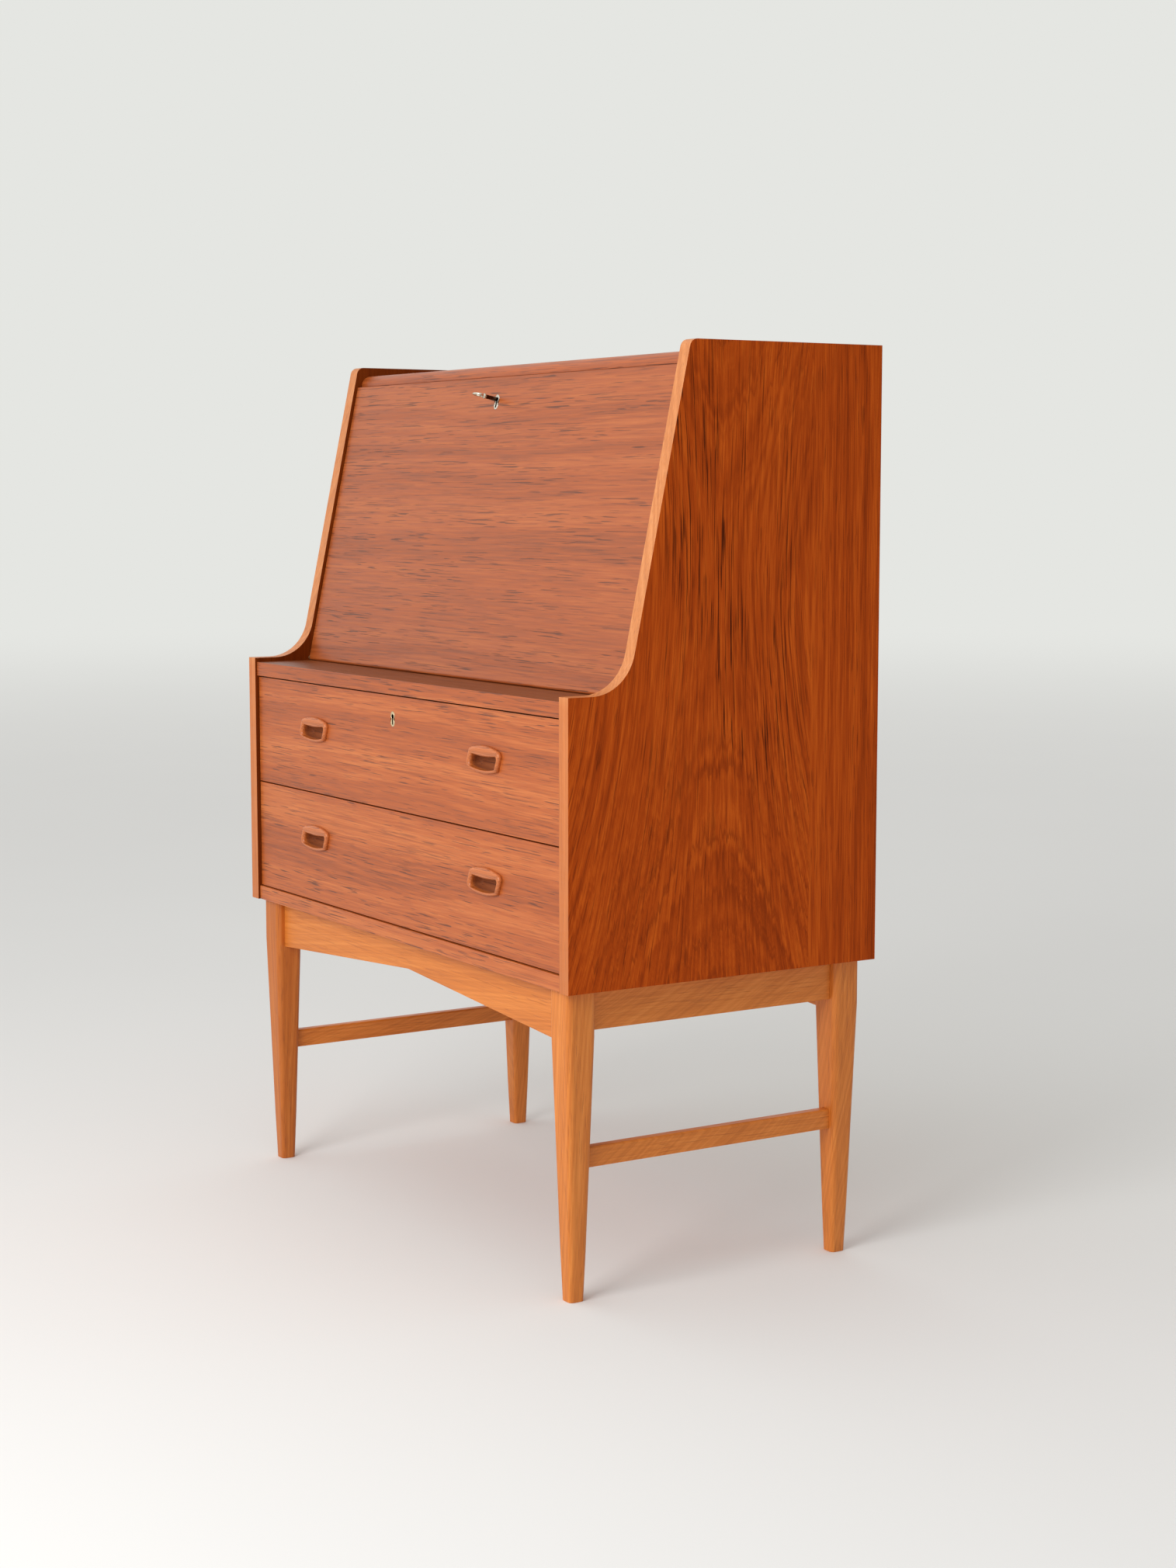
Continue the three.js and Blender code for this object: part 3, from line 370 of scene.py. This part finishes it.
def object_axis(tree, axis):
    """One object coordinate."""
    place = tree.node("ShaderNodeTexCoord").outputs["Object"]
    return tree.node("ShaderNodeSeparateXYZ", {"Vector": place}).outputs[axis]


def edge_wood(tree, edge, offset, roughness):
    """The shader of the other wood on a board's edge, with painted light above the ledge: lighter there by
    the factor rise.
    """
    palette, _, order, _, _, specular, painted_light = edge
    color, height, _ = wood_color(tree, grain_space(tree, order, offset, 0.0), palette, FIGURE_FINE)
    # painted light: above the ledge the edge wood is multiplied by the lightening factors
    above = tree.step(object_axis(tree, "Z"), *LEDGE_LEVEL)
    color = tree.mix(above, color, tree.mix(1.0, color, painted_light, "MULTIPLY"))
    return shader_node(tree, color, roughness, bump=height, specular=specular)


def wood(name, order, palette, figure, offset=(0.0, 0.0, 0.0), tilt=0.0, specular=0.5, gloss=0.40,
         edge=None, inner_shade=None, bore=None, hollow_shade=None):
    """Wood with its grain along order[0].

    edge = (palette, axis, order, low, high, specular, rise) is other wood where the size of a face's
    normal along that axis has gone from low to high, with painted light above the ledge, lighter there by the
    factor rise.
    inner = (palette, sign) is a darker face towards the middle of the desk, in painted shade.
    bore = (centre, direction) paints shade down a keyhole. hollow = (start, end) paints shade that darkens
    with depth along Y.
    """
    material, tree = new_material(name)
    place = grain_space(tree, order, offset, tilt)
    color, height, fibres = wood_color(tree, place, palette, figure)
    roughness = tree.step(fibres, 0.2, 0.8, gloss - 0.06, gloss + 0.08)
    normal = tree.node("ShaderNodeTexCoord").outputs["Normal"]
    facing = tree.node("ShaderNodeSeparateXYZ", {"Vector": normal})
    # painted shade on the face that turns towards the middle of the desk
    if inner_shade:
        inner_palette, sign = inner_shade
        inner_color, _, _ = wood_color(tree, place, inner_palette, FIGURE_FINE)
        towards = tree.math("MULTIPLY", facing.outputs["X"], sign)
        color = tree.mix(tree.step(towards, 0.60, 0.80), color, inner_color)
    # painted shade down the keyhole's bore
    if bore:
        color = tree.mix(bore_shade_mask(tree, *bore), color, BORE_SHADE_BLACK)
    # painted shade that deepens into the finger hole
    if hollow_shade:
        shade = tree.step(object_axis(tree, "Y"), *hollow_shade)
        color = tree.mix(tree.math("MULTIPLY", shade, 0.60), color, palette["streak"])
        roughness = tree.math("ADD", roughness, tree.math("MULTIPLY", shade, 0.5), clamp=True)
    surface = shader_node(tree, color, roughness, bump=height, specular=specular)
    if edge:
        _, axis, _, low, high, _, _ = edge
        on_edge = tree.step(tree.math("ABSOLUTE", facing.outputs[axis]), low, high)
        edge_surface = edge_wood(tree, edge, offset, roughness)
        both = tree.node("ShaderNodeMixShader", {0: on_edge, 1: surface, 2: edge_surface})
        surface = both.outputs[0]
    finish_material(tree, surface)
    return material


def metal(name, color, tarnish, roughness, shank=None):
    """Worn metal: patches of tarnish and fine scratches. shank = (start, end, colour) is a darker span along
    Y; on the escutcheons it is painted shade down the keyhole's wall.
    """
    material, tree = new_material(name)
    place = tree.node("ShaderNodeTexCoord").outputs["Object"]
    patches = tree.scaled_noise(place, (260.0, 260.0, 260.0), detail=4.0, roughness=0.65)
    scratches = tree.scaled_noise(place, (300.0, 300.0, 4000.0), detail=1.0)
    shade = tree.mix(tree.step(patches, 0.42, 0.66), color, tarnish)
    if shank:
        start, end, shank_color = shank
        apart = tree.node("ShaderNodeSeparateXYZ", {"Vector": place})
        shade = tree.mix(tree.step(apart.outputs["Y"], start, end), shade, shank_color)
    rough = tree.step(patches, 0.35, 0.70, roughness, roughness + 0.25)
    finish_material(tree, shader_node(tree, shade, rough, bump=scratches, metallic=1.0,
                                      depth=SCRATCH_DEPTH))
    return material


# ---- mesh helpers ----
def mesh_piece(name, bm, material, body, matrix=None, replaced=None):
    """A smooth-shaded object from bm, riding on its body, in place of the CAD node it replaces."""
    bmesh.ops.recalc_face_normals(bm, faces=bm.faces)
    mesh = bpy.data.meshes.new(name)
    bm.to_mesh(mesh)
    bm.free()
    for polygon in mesh.polygons:
        polygon.use_smooth = True
    piece = bpy.data.objects.new(name, mesh)
    bpy.context.scene.collection.objects.link(piece)
    mesh.materials.append(material)
    if matrix is not None:
        piece.matrix_world = matrix
    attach(piece, body)
    if replaced:
        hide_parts(replaced)
    return piece


def skin(bm, rings, closed=False):
    """A skin through rings of equally many points, into bm, capped unless closed joins last to first."""
    rows = [[bm.verts.new(point) for point in ring] for ring in rings]
    count = len(rows[0])
    pairs = list(zip(rows, rows[1:]))
    if closed:
        pairs.append((rows[-1], rows[0]))
    for lower, upper in pairs:
        for i in range(count):
            j = (i + 1) % count
            bm.faces.new((lower[i], lower[j], upper[j], upper[i]))
    if not closed:
        bm.faces.new(rows[0])
        bm.faces.new(rows[-1])


def in_metres(points):
    """Points in millimetres as tuples in metres."""
    return [tuple(value * MM for value in point) for point in points]


def oblong(half_width, half_height, bow, corner, sag, run_steps=14, corner_steps=8):
    """Outline of a bowed oblong whose long edges sag at mid width, as (x, z) in millimetres."""
    run = half_width - corner
    half = []
    for i in range(run_steps):
        t = -1.0 + 2.0 * i / run_steps
        half.append((run * t, half_height - bow * t * t))
    for i in range(corner_steps + 1):
        angle = math.pi / 2 * (1.0 - i / corner_steps)
        half.append((run + corner * math.cos(angle),
                     half_height - bow - corner + corner * math.sin(angle)))
    outline = half + [(-x, -z) for x, z in half]
    return [(x, z - sag * (1.0 - (x / half_width) ** 2)) for x, z in outline]


def resample(outline, count):
    """Equally spaced points along a closed outline, from its first point."""
    closed = outline + outline[:1]
    lengths = [math.dist(a, b) for a, b in zip(closed, closed[1:])]
    total = sum(lengths)
    points = []
    walked, index = 0.0, 0
    for i in range(count):
        target = total * i / count
        while walked + lengths[index] < target:
            walked += lengths[index]
            index += 1
        t = (target - walked) / lengths[index]
        (ax, az), (bx, bz) = closed[index], closed[index + 1]
        points.append((ax + (bx - ax) * t, az + (bz - az) * t))
    return points


def stadium(half_width, half_height, count):
    """Upright stadium outline from its top, clockwise, in millimetres."""
    straight = half_height - half_width
    steps = 48
    outline = []
    for i in range(steps + 1):
        angle = math.pi / 2 - math.pi * i / steps
        outline.append((half_width * math.cos(angle), half_width * math.sin(angle) + straight))
    for i in range(steps + 1):
        angle = -math.pi / 2 - math.pi * i / steps
        outline.append((half_width * math.cos(angle), half_width * math.sin(angle) - straight))
    right = [point for point in outline if point[0] >= 0.0 and point[1] > 0.0]
    low_right = [(x, -z) for x, z in reversed(right)]
    left = [(-x, z) for x, z in reversed(right + low_right)]
    return resample(right + low_right + left[1:-1], count)


def keyhole(radius, slot, foot, count):
    """Keyhole outline from its top, clockwise: a round bore with a slot down to foot, in millimetres."""
    steps = 40
    foot_steps = 8
    meet = math.asin(slot / radius)
    right = []
    for i in range(steps + 1):
        angle = math.pi / 2 - (math.pi - meet) * i / steps
        right.append((radius * math.cos(angle), radius * math.sin(angle) + KEYHOLE_RISE))
    for i in range(foot_steps + 1):
        angle = -math.pi / 2 * i / foot_steps
        right.append((slot * math.cos(angle), foot + slot + slot * math.sin(angle)))
    left = [(-x, z) for x, z in reversed(right)]
    return resample(right + left[1:-1], count)


def soften_modifier_group():
    """Geometry nodes that merge the loose triangles of an imported solid and shade it smooth."""
    group = bpy.data.node_groups.new("weld_and_smooth", "GeometryNodeTree")
    group.interface.new_socket("Geometry", in_out="INPUT", socket_type="NodeSocketGeometry")
    group.interface.new_socket("Geometry", in_out="OUTPUT", socket_type="NodeSocketGeometry")
    start = group.nodes.new("NodeGroupInput")
    merge = group.nodes.new("GeometryNodeMergeByDistance")
    merge.inputs["Distance"].default_value = WELD_DISTANCE
    drop = group.nodes.new("GeometryNodeRemoveAttribute")
    drop.inputs["Name"].default_value = "custom_normal"
    smooth = group.nodes.new("GeometryNodeSetShadeSmooth")
    end = group.nodes.new("NodeGroupOutput")
    chain = [start, merge, drop, smooth, end]
    for before, after in zip(chain, chain[1:]):
        group.links.new(before.outputs["Geometry"], after.inputs["Geometry"])
    return group


def soften(node, group, width, segments=3):
    """Rounds the edges of a CAD node a little, with modifiers only."""
    weld = node.modifiers.new("weld", "NODES")
    weld.node_group = group
    flat = node.modifiers.new("flat", "DECIMATE")
    flat.decimate_type = "DISSOLVE"
    flat.angle_limit = math.radians(0.5)
    bevel = node.modifiers.new("bevel", "BEVEL")
    bevel.width = width
    bevel.segments = segments
    bevel.limit_method = "ANGLE"
    bevel.angle_limit = math.radians(32)
    bevel.miter_outer = "MITER_ARC"
    normals = node.modifiers.new("normals", "WEIGHTED_NORMAL")
    normals.keep_sharp = True


# ---- start ----
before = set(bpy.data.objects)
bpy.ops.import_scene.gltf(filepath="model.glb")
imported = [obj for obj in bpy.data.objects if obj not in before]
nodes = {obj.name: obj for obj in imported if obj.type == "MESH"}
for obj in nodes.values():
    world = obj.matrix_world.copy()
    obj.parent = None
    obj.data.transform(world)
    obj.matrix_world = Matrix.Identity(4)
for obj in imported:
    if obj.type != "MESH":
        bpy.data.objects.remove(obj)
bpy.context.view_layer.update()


def build_camera():
    camera = bpy.data.objects.new("camera", bpy.data.cameras.new("camera"))
    camera.location = CAMERA_PLACE
    camera.rotation_euler = (math.pi / 2 + CAMERA_PITCH, 0.0, CAMERA_YAW)
    camera.data.sensor_fit = "VERTICAL"
    camera.data.sensor_height = SENSOR_HEIGHT
    camera.data.lens = CAMERA_LENS
    camera.data.clip_end = 200.0
    bpy.context.scene.collection.objects.link(camera)
    bpy.context.scene.camera = camera


def build_light():
    world = bpy.data.worlds.new("world")
    bpy.context.scene.world = world
    world.use_nodes = True
    tree = Tree(world.node_tree)
    direction = tree.node("ShaderNodeTexCoord").outputs["Generated"]
    towards = tuple(Vector(WORLD_TOWARDS).normalized())
    dot = tree.node("ShaderNodeVectorMath", {0: direction, 1: towards}, operation="DOT_PRODUCT")
    glow = tree.mix(tree.step(dot.outputs["Value"], -0.9, 0.95), WORLD_DIM, WORLD_BRIGHT)
    lit = tree.node("ShaderNodeBackground", {"Color": glow, "Strength": 1.0})
    seen = tree.node("ShaderNodeBackground", {"Color": as_color(BACKDROP), "Strength": 1.0})
    is_camera = tree.node("ShaderNodeLightPath").outputs["Is Camera Ray"]
    both = tree.node("ShaderNodeMixShader", {0: is_camera, 1: lit.outputs[0], 2: seen.outputs[0]})
    tree.node("ShaderNodeOutputWorld", {"Surface": both.outputs[0]})

    window = bpy.data.objects.new("window", bpy.data.lights.new("window", "AREA"))
    window.data.shape = "SQUARE"
    window.data.size = WINDOW_SIZE
    window.data.energy = WINDOW_POWER
    window.location = WINDOW_PLACE
    back = Vector(WINDOW_PLACE) - Vector(WINDOW_AIM)
    window.rotation_euler = back.to_track_quat("Z", "Y").to_euler()
    bpy.context.scene.collection.objects.link(window)


def build_floor():
    material, tree = new_material("floor_paint")
    place = tree.node("ShaderNodeTexCoord").outputs["Object"]
    soft = tree.scaled_noise(place, (1.3, 1.3, 1.3), detail=3.0)
    color = tree.mix(soft, FLOOR_COLOR, tuple(0.975 * value for value in FLOOR_COLOR))
    distance = tree.node("ShaderNodeVectorMath", {0: place}, operation="LENGTH").outputs["Value"]
    fade = tree.step(distance, *FLOOR_FADE)
    near = tree.node("ShaderNodeBsdfDiffuse", {"Color": color})
    far = tree.node("ShaderNodeEmission", {"Color": as_color(BACKDROP), "Strength": 1.0})
    both = tree.node("ShaderNodeMixShader", {0: fade, 1: near.outputs[0], 2: far.outputs[0]})
    tree.node("ShaderNodeOutputMaterial", {"Surface": both.outputs[0]})

    bm = bmesh.new()
    bmesh.ops.create_grid(bm, x_segments=1, y_segments=1, size=FLOOR_SIZE / 2)
    mesh = bpy.data.meshes.new("floor")
    bm.to_mesh(mesh)
    bm.free()
    floor = bpy.data.objects.new("floor", mesh)
    mesh.materials.append(material)
    bpy.context.scene.collection.objects.link(floor)


# ---- materials on the CAD nodes ----
def assign(names, material):
    for name in names:
        nodes[name].material_slots[0].material = material


def paint_case():
    side_edge = (LIPPING, "X", "ZXY", 0.80, 0.60, 0.5, LIPPING_PAINTED_LIGHT)
    for name, figure, sign, offset in (
            ("left_side_panel", FIGURE_LEFT_SIDE, 1.0, (0.03, 0.04, 0.4)),
            ("right_side_panel", FIGURE_RIGHT_SIDE, -1.0, (0.0, 0.0, 0.0))):
        material = wood(name, "ZYX", TEAK, figure, offset, specular=0.05, gloss=0.48, edge=side_edge,
                        inner_shade=(TEAK_INNER_SHADE, sign))
        assign([name], material)
    # painted shade: the desk board's upward faces, the ledge's top, in the darker teak
    ledge_top_shade = (TEAK_LEDGE_SHADE, "Z", "XYZ", 0.60, 0.80, 0.25, NO_PAINTED_LIGHT)
    for index, name in enumerate(("top_board", "desk_board", "bottom_board")):
        edge = ledge_top_shade if name == "desk_board" else None
        assign([name], wood(name, "XZY", TEAK_FRONT, FIGURE_PLAIN, (0.7 * index, 0.31, 0.2), edge=edge))
    # painted shade down the keyhole bores of the flap and the upper drawer
    flap_bore_shade = (tuple(FLAP_FRAME @ Vector((FLAP_LOCK[0], 0.0, FLAP_LOCK[1]))),
                 tuple(FLAP_FRAME.to_3x3() @ Vector((0.0, 1.0, 0.0))))
    flap = wood("flap_panel", "XZY", TEAK_FLAP, FIGURE_CALM, (4.0, 0.1, 0.0), tilt=RAKE, bore=flap_bore_shade)
    assign(["flap_panel"], flap)
    drawer_bore_shade = ((DRAWER_LOCK[0], DRAWER_FACE_Y, DRAWER_LOCK[1]), (0.0, 1.0, 0.0))
    for index, name in enumerate(("upper", "lower")):
        material = wood(f"{name}_front", "XZY", TEAK_FRONT, FIGURE_PLAIN, (5.3 + index, 0.4 * index, 0.0),
                        bore=drawer_bore_shade if name == "upper" else None)
        assign([f"{name}_drawer_front"], material)
    inside = wood("inside_teak", "XZY", TEAK, FIGURE_PLAIN, (2.0, 0.7, 0.1), specular=0.3, gloss=0.5)
    assign(["flap_stop_rail", "interior_shelf", "letter_shelf"], inside)
    upright = wood("upright_teak", "ZYX", TEAK, FIGURE_PLAIN, (2.6, 0.2, 0.3), specular=0.3, gloss=0.5)
    for height in ("lower", "upper"):
        assign([f"{height}_divider_{side}" for side in ("left", "right")], upright)


def paint_stand():
    legs = [f"{end}_{side}_leg" for end in ("front", "rear") for side in ("left", "right")]
    for index, name in enumerate(legs):
        # painted shade: the front left leg gets a darker copy of the oak
        palette = toned(OAK, LEG_SHADE_TONE) if name == "front_left_leg" else OAK
        material = wood(name, "ZXY", palette, FIGURE_OAK, (1.7 * index, 0.11 * index, 0.3), specular=0.35,
                        gloss=0.38)
        assign([name], material)
    for index, name in enumerate(("front_apron", "rear_apron")):
        assign([name], wood(name, "XZY", OAK, FIGURE_OAK, (3.0 + index, 0.2, 0.0), specular=0.35,
                            gloss=0.38))
    for index, name in enumerate(("left_apron", "right_apron", "left_stretcher", "right_stretcher")):
        material = wood(name, "YZX", OAK, FIGURE_OAK, (6.0 + index, 0.07 * index, 0.0), specular=0.35,
                        gloss=0.38)
        assign([name], material)
    runner = wood("runner_oak", "YZX", OAK, FIGURE_OAK, (9.0, 0.0, 0.0), gloss=0.5)
    for height in ("upper", "lower"):
        assign([f"{height}_runner_{side}" for side in ("left", "right")], runner)


def paint_insides():
    side = wood("drawer_side_wood", "YZX", BEECH, FIGURE_FINE, (1.0, 0.0, 0.0), specular=0.3, gloss=0.6)
    across = wood("drawer_back_wood", "XZY", BEECH, FIGURE_FINE, (2.0, 0.0, 0.0), specular=0.3, gloss=0.6)
    ply = wood("ply_bottom", "XYZ", PLY, FIGURE_FINE, (3.0, 0.0, 0.0), specular=0.3, gloss=0.6)
    back = wood("ply_back", "ZXY", PLY, FIGURE_FINE, (4.0, 0.3, -0.1), specular=0.3, gloss=0.6)
    for name in ("upper", "lower"):
        assign([f"{name}_drawer_side_{hand}" for hand in ("left", "right")], side)
        assign([f"{name}_drawer_back"], across)
        assign([f"{name}_drawer_bottom"], ply)
    assign(["back_panel"], back)
    blocks = [f"{end}_{hand}_corner_block" for end in ("front", "rear") for hand in ("left", "right")]
    assign(blocks, across)


def paint_metal():
    brass_names = ["flap_strike_plate", "drawer_strike_plate", "flap_pin_left", "flap_pin_right",
                   "flap_bush_left", "flap_bush_right", "flap_lock_bolt", "drawer_lock_bolt",
                   "flap_escutcheon", "drawer_escutcheon"]
    assign(brass_names, BRASS)
    assign(["flap_lock_case", "drawer_lock_case", "flap_key"], STEEL)


def soften_case():
    group = soften_modifier_group()
    wide = ["left_side_panel", "right_side_panel", "top_board", "desk_board", "bottom_board",
            "flap_panel", "upper_drawer_front", "lower_drawer_front"]
    for name in wide:
        soften(nodes[name], group, PANEL_EDGE)
    skipped = set(wide) | {"flap_key", "flap_escutcheon", "drawer_escutcheon"}
    skipped |= {name for name in nodes if "pull" in name}
    for name, node in nodes.items():
        if name not in skipped:
            soften(node, group, SMALL_EDGE, segments=2)


# ---- pieces modelled here ----
def build_pulls():
    """Carved teak cups. Each ring: depth behind the drawer face, half width, half height, shift, bow,
    corner radius and sag, from the back of the plug over the rim and down into the finger hole."""
    rings = (
        (15.0, 33.0, 12.6, 0.0, 2.5, 6.0, 0.0),
        (0.1, 33.0, 12.6, 0.0, 2.5, 6.0, 0.0),
        (0.05, 37.2, 15.7, 0.0, 4.0, 7.0, 0.0),
        (-0.1, 37.5, 16.0, 0.0, 4.0, 7.0, 0.0),
        (-2.2, 37.5, 16.0, 0.0, 4.0, 7.0, 0.0),
        (-3.4, 37.2, 15.7, 0.0, 4.0, 6.9, 0.0),
        (-4.3, 36.4, 15.0, 0.0, 3.9, 6.5, 0.0),
        (-4.85, 35.3, 13.9, -0.1, 3.6, 6.1, 0.2),
        (-5.0, 34.0, 12.4, -0.3, 3.2, 5.6, 0.6),
        (-4.85, 32.9, 10.7, -0.7, 2.3, 5.2, 1.3),
        (-4.3, 31.6, 8.9, -1.2, 1.1, 4.6, 2.2),
        (-3.4, 30.7, 8.1, -1.4, 0.7, 4.3, 2.7),
        (-2.0, 30.2, 7.7, -1.5, 0.5, 4.2, 2.9),
        (0.5, 30.2, 7.8, -1.4, 0.5, 4.2, 2.8),
        (4.0, 30.6, 8.6, -0.8, 0.6, 4.4, 2.2),
        (8.5, 30.6, 8.8, -0.6, 0.6, 4.4, 2.0),
        (11.0, 29.4, 7.8, -0.7, 0.5, 4.2, 1.8),
        (12.2, 27.0, 5.8, -0.8, 0.4, 3.4, 1.5),
        (12.4, 22.0, 2.5, -0.8, 0.3, 2.0, 1.0),
    )
    loops = []
    for depth, half_width, half_height, shift, bow, corner, sag in rings:
        outline = oblong(half_width, half_height, bow, corner, sag)
        loops.append(in_metres((x, depth, z + shift) for x, z in outline))
    # the finger hole gets painted shade that deepens with depth
    material = wood("pull_teak", "XZY", TEAK_PULL, FIGURE_PLAIN, (8.0, 0.5, 0.0), gloss=0.30,
                    hollow_shade=PULL_HOLLOW_SHADE)
    for height, z in PULL_Z.items():
        for side, x in (("left", -PULL_X), ("right", PULL_X)):
            bm = bmesh.new()
            skin(bm, loops)
            place = Matrix.Translation((x, DRAWER_FACE_Y, z))
            mesh_piece(f"{height}_{side}_pull_cup", bm, material, f"{height}_drawer", place,
                       replaced=f"{height}_pull_{side}")


def build_key():
    """Stem, bead, neck and an oval bow lying crosswise, along the flap's own thickness axis."""
    bow_width, bow_height, bow_y, bow_wire, bow_thickness = 7.6, 5.2, -26.8, 0.19, 1.25
    profile = ((11.0, 2.5), (-16.0, 2.5), (-16.7, 2.65), (-17.2, 3.0), (-17.7, 3.25), (-18.3, 3.3),
               (-18.8, 3.15), (-19.2, 2.7), (-19.5, 2.1), (-20.1, 1.85), (-22.3, 1.9))
    steps = 28
    turns = [2.0 * math.pi * i / steps for i in range(steps)]
    bm = bmesh.new()
    skin(bm, [in_metres((r * math.cos(a), y, r * math.sin(a)) for a in turns) for y, r in profile])
    bow_steps, section_steps = 56, 14
    loops = []
    for i in range(bow_steps):
        a = 2.0 * math.pi * i / bow_steps
        loop = []
        for k in range(section_steps):
            b = 2.0 * math.pi * k / section_steps
            reach = 1.0 + bow_wire * math.cos(b)
            loop.append((bow_width * reach * math.cos(a),
                         bow_y + bow_height * reach * math.sin(a),
                         bow_thickness * math.sin(b)))
        loops.append(in_metres(loop))
    skin(bm, loops, closed=True)
    material = metal("key_nickel", (0.78, 0.74, 0.62), (0.42, 0.37, 0.27), 0.20,
                     shank=(-17.0 * MM, -16.2 * MM, (0.060, 0.026, 0.012)))
    x, z = FLAP_LOCK
    place = FLAP_FRAME @ Matrix.Translation((x, 0.0, z + KEYHOLE_RISE * MM))
    mesh_piece("flap_key_turned", bm, material, "key", place, replaced="flap_key")


def build_escutcheon(name, material, body, matrix):
    """A thin oval plate with a rounded rim around a keyhole."""
    count = 96
    rings = (
        (1.1, stadium(4.7, 9.1, count)),
        (0.0, stadium(4.9, 9.3, count)),
        (-0.18, stadium(4.75, 9.15, count)),
        (-0.32, stadium(4.35, 8.75, count)),
        (-0.34, keyhole(3.4, 1.9, -7.6, count)),
        (-0.22, keyhole(3.05, 1.6, -7.25, count)),
        (0.05, keyhole(2.9, 1.5, -7.1, count)),
        (1.1, keyhole(2.9, 1.5, -7.1, count)),
    )
    bm = bmesh.new()
    skin(bm, [in_metres((x, y, z) for x, z in outline) for y, outline in rings], closed=True)
    mesh_piece(f"{name}_plate", bm, material, body, matrix, replaced=name)


def screw_heads(name, spots, outwards, radius, material, body, matrix=None, turn=0.0):
    """Slotted heads, slightly domed, let into the surface at each spot. Sizes in millimetres."""
    circle_steps, arc_steps = 32, 16
    bm = bmesh.new()
    turn_to = Vector(outwards).to_track_quat("Z", "Y").to_matrix()
    half_slot = 0.13 * radius
    angles = [2.0 * math.pi * i / circle_steps for i in range(circle_steps)]
    plug = [[(radius * math.cos(a), radius * math.sin(a), z) for a in angles] for z in (-1.0, -0.25)]
    halves = []
    for side in (1.0, -1.0):
        half = []
        for scale, z in ((1.0, -0.3), (0.99, 0.05), (0.90, 0.22), (0.70, 0.34)):
            reach = radius * scale
            start = math.asin(half_slot / reach)
            arc_angles = [start + (math.pi - 2.0 * start) * i / arc_steps for i in range(arc_steps + 1)]
            half.append([(reach * math.cos(a), side * reach * math.sin(a), z) for a in arc_angles])
        halves.append(half)
    for index, spot in enumerate(spots):
        pose = turn_to @ Matrix.Rotation(turn + 0.9 * index, 3, "Z")
        for solid in (plug, *halves):
            skin(bm, [[Vector(spot) + pose @ (Vector(point) * MM) for point in ring] for ring in solid])
    mesh_piece(name, bm, material, body, matrix)


def box_corners(node):
    return [Vector(corner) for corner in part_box(node)]


def build_screws():
    case_low, case_high = box_corners("drawer_lock_case")
    middle = (case_low + case_high) / 2
    spots = [(middle.x + dx * MM, case_high.y, middle.z + dz * MM) for dx in (-20, 20) for dz in (-15, 15)]
    screw_heads("drawer_lock_screws", spots, (0, 1, 0), 2.4, STEEL, "upper_drawer")

    x, z = FLAP_LOCK
    spots = [(x + dx * MM, FLAP_THICK, z + dz * MM) for dx in (-20, 20) for dz in (-5, 24)]
    screw_heads("flap_lock_screws", spots, (0, 1, 0), 2.4, STEEL, "flap", FLAP_FRAME, turn=0.4)

    for name in ("flap_strike", "drawer_strike"):
        low, high = box_corners(f"{name}_plate")
        middle = (low + high) / 2
        spots = [(middle.x + dx * MM, middle.y, low.z) for dx in (-15.5, 15.5)]
        screw_heads(f"{name}_screws", spots, (0, 0, -1), 2.0, BRASS, "case", turn=1.0)

    low, high = box_corners("back_panel")
    inset = 9.0 * MM
    columns = [low.x + inset + (high.x - low.x - 2 * inset) * t for t in (0.0, 0.25, 0.5, 0.75, 1.0)]
    rows = [low.z + inset + (high.z - low.z - 2 * inset) * t for t in (0.25, 0.5, 0.75)]
    spots = [(cx, high.y, cz) for cx in columns for cz in (low.z + inset, high.z - inset)]
    spots += [(cx, high.y, cz) for cx in (columns[0], columns[-1]) for cz in rows]
    screw_heads("back_panel_screws", spots, (0, 1, 0), 3.0, STEEL, "case", turn=0.2)

    for end in ("front", "rear"):
        for hand in ("left", "right"):
            low, high = box_corners(f"{end}_{hand}_corner_block")
            middle = (low + high) / 2
            spots = [(middle.x, middle.y, low.z)]
            screw_heads(f"{end}_{hand}_block_screw", spots, (0, 0, -1), 3.4, STEEL, "case", turn=0.7)


def build_fittings():
    drawer_plate = Matrix.Translation((DRAWER_LOCK[0], DRAWER_FACE_Y, DRAWER_LOCK[1]))
    build_escutcheon("drawer_escutcheon", PALE_BRASS, "upper_drawer", drawer_plate)
    flap_plate = FLAP_FRAME @ Matrix.Translation((FLAP_LOCK[0], 0.0, FLAP_LOCK[1]))
    build_escutcheon("flap_escutcheon", NICKEL, "flap", flap_plate)


BRASS = metal("brass_worn", (0.62, 0.50, 0.29), (0.30, 0.22, 0.12), 0.30)
# painted shade: near black down the escutcheons' keyhole walls and at the plate's foot against the wood
KEYHOLE_WALL_SHADE = (-0.20 * MM, 0.05 * MM, (0.015, 0.009, 0.005))
PALE_BRASS = metal("brass_pale", (0.86, 0.72, 0.47), (0.60, 0.46, 0.26), 0.32, shank=KEYHOLE_WALL_SHADE)
STEEL = metal("steel_worn", (0.50, 0.48, 0.44), (0.28, 0.24, 0.19), 0.34)
NICKEL = metal("nickel_worn", (0.78, 0.73, 0.64), (0.48, 0.42, 0.33), 0.28, shank=KEYHOLE_WALL_SHADE)
build_camera()
build_light()
build_floor()
paint_case()
paint_stand()
paint_insides()
paint_metal()
soften_case()
build_pulls()
build_key()
build_fittings()
build_screws()

bpy.context.scene.view_settings.view_transform = "Standard"
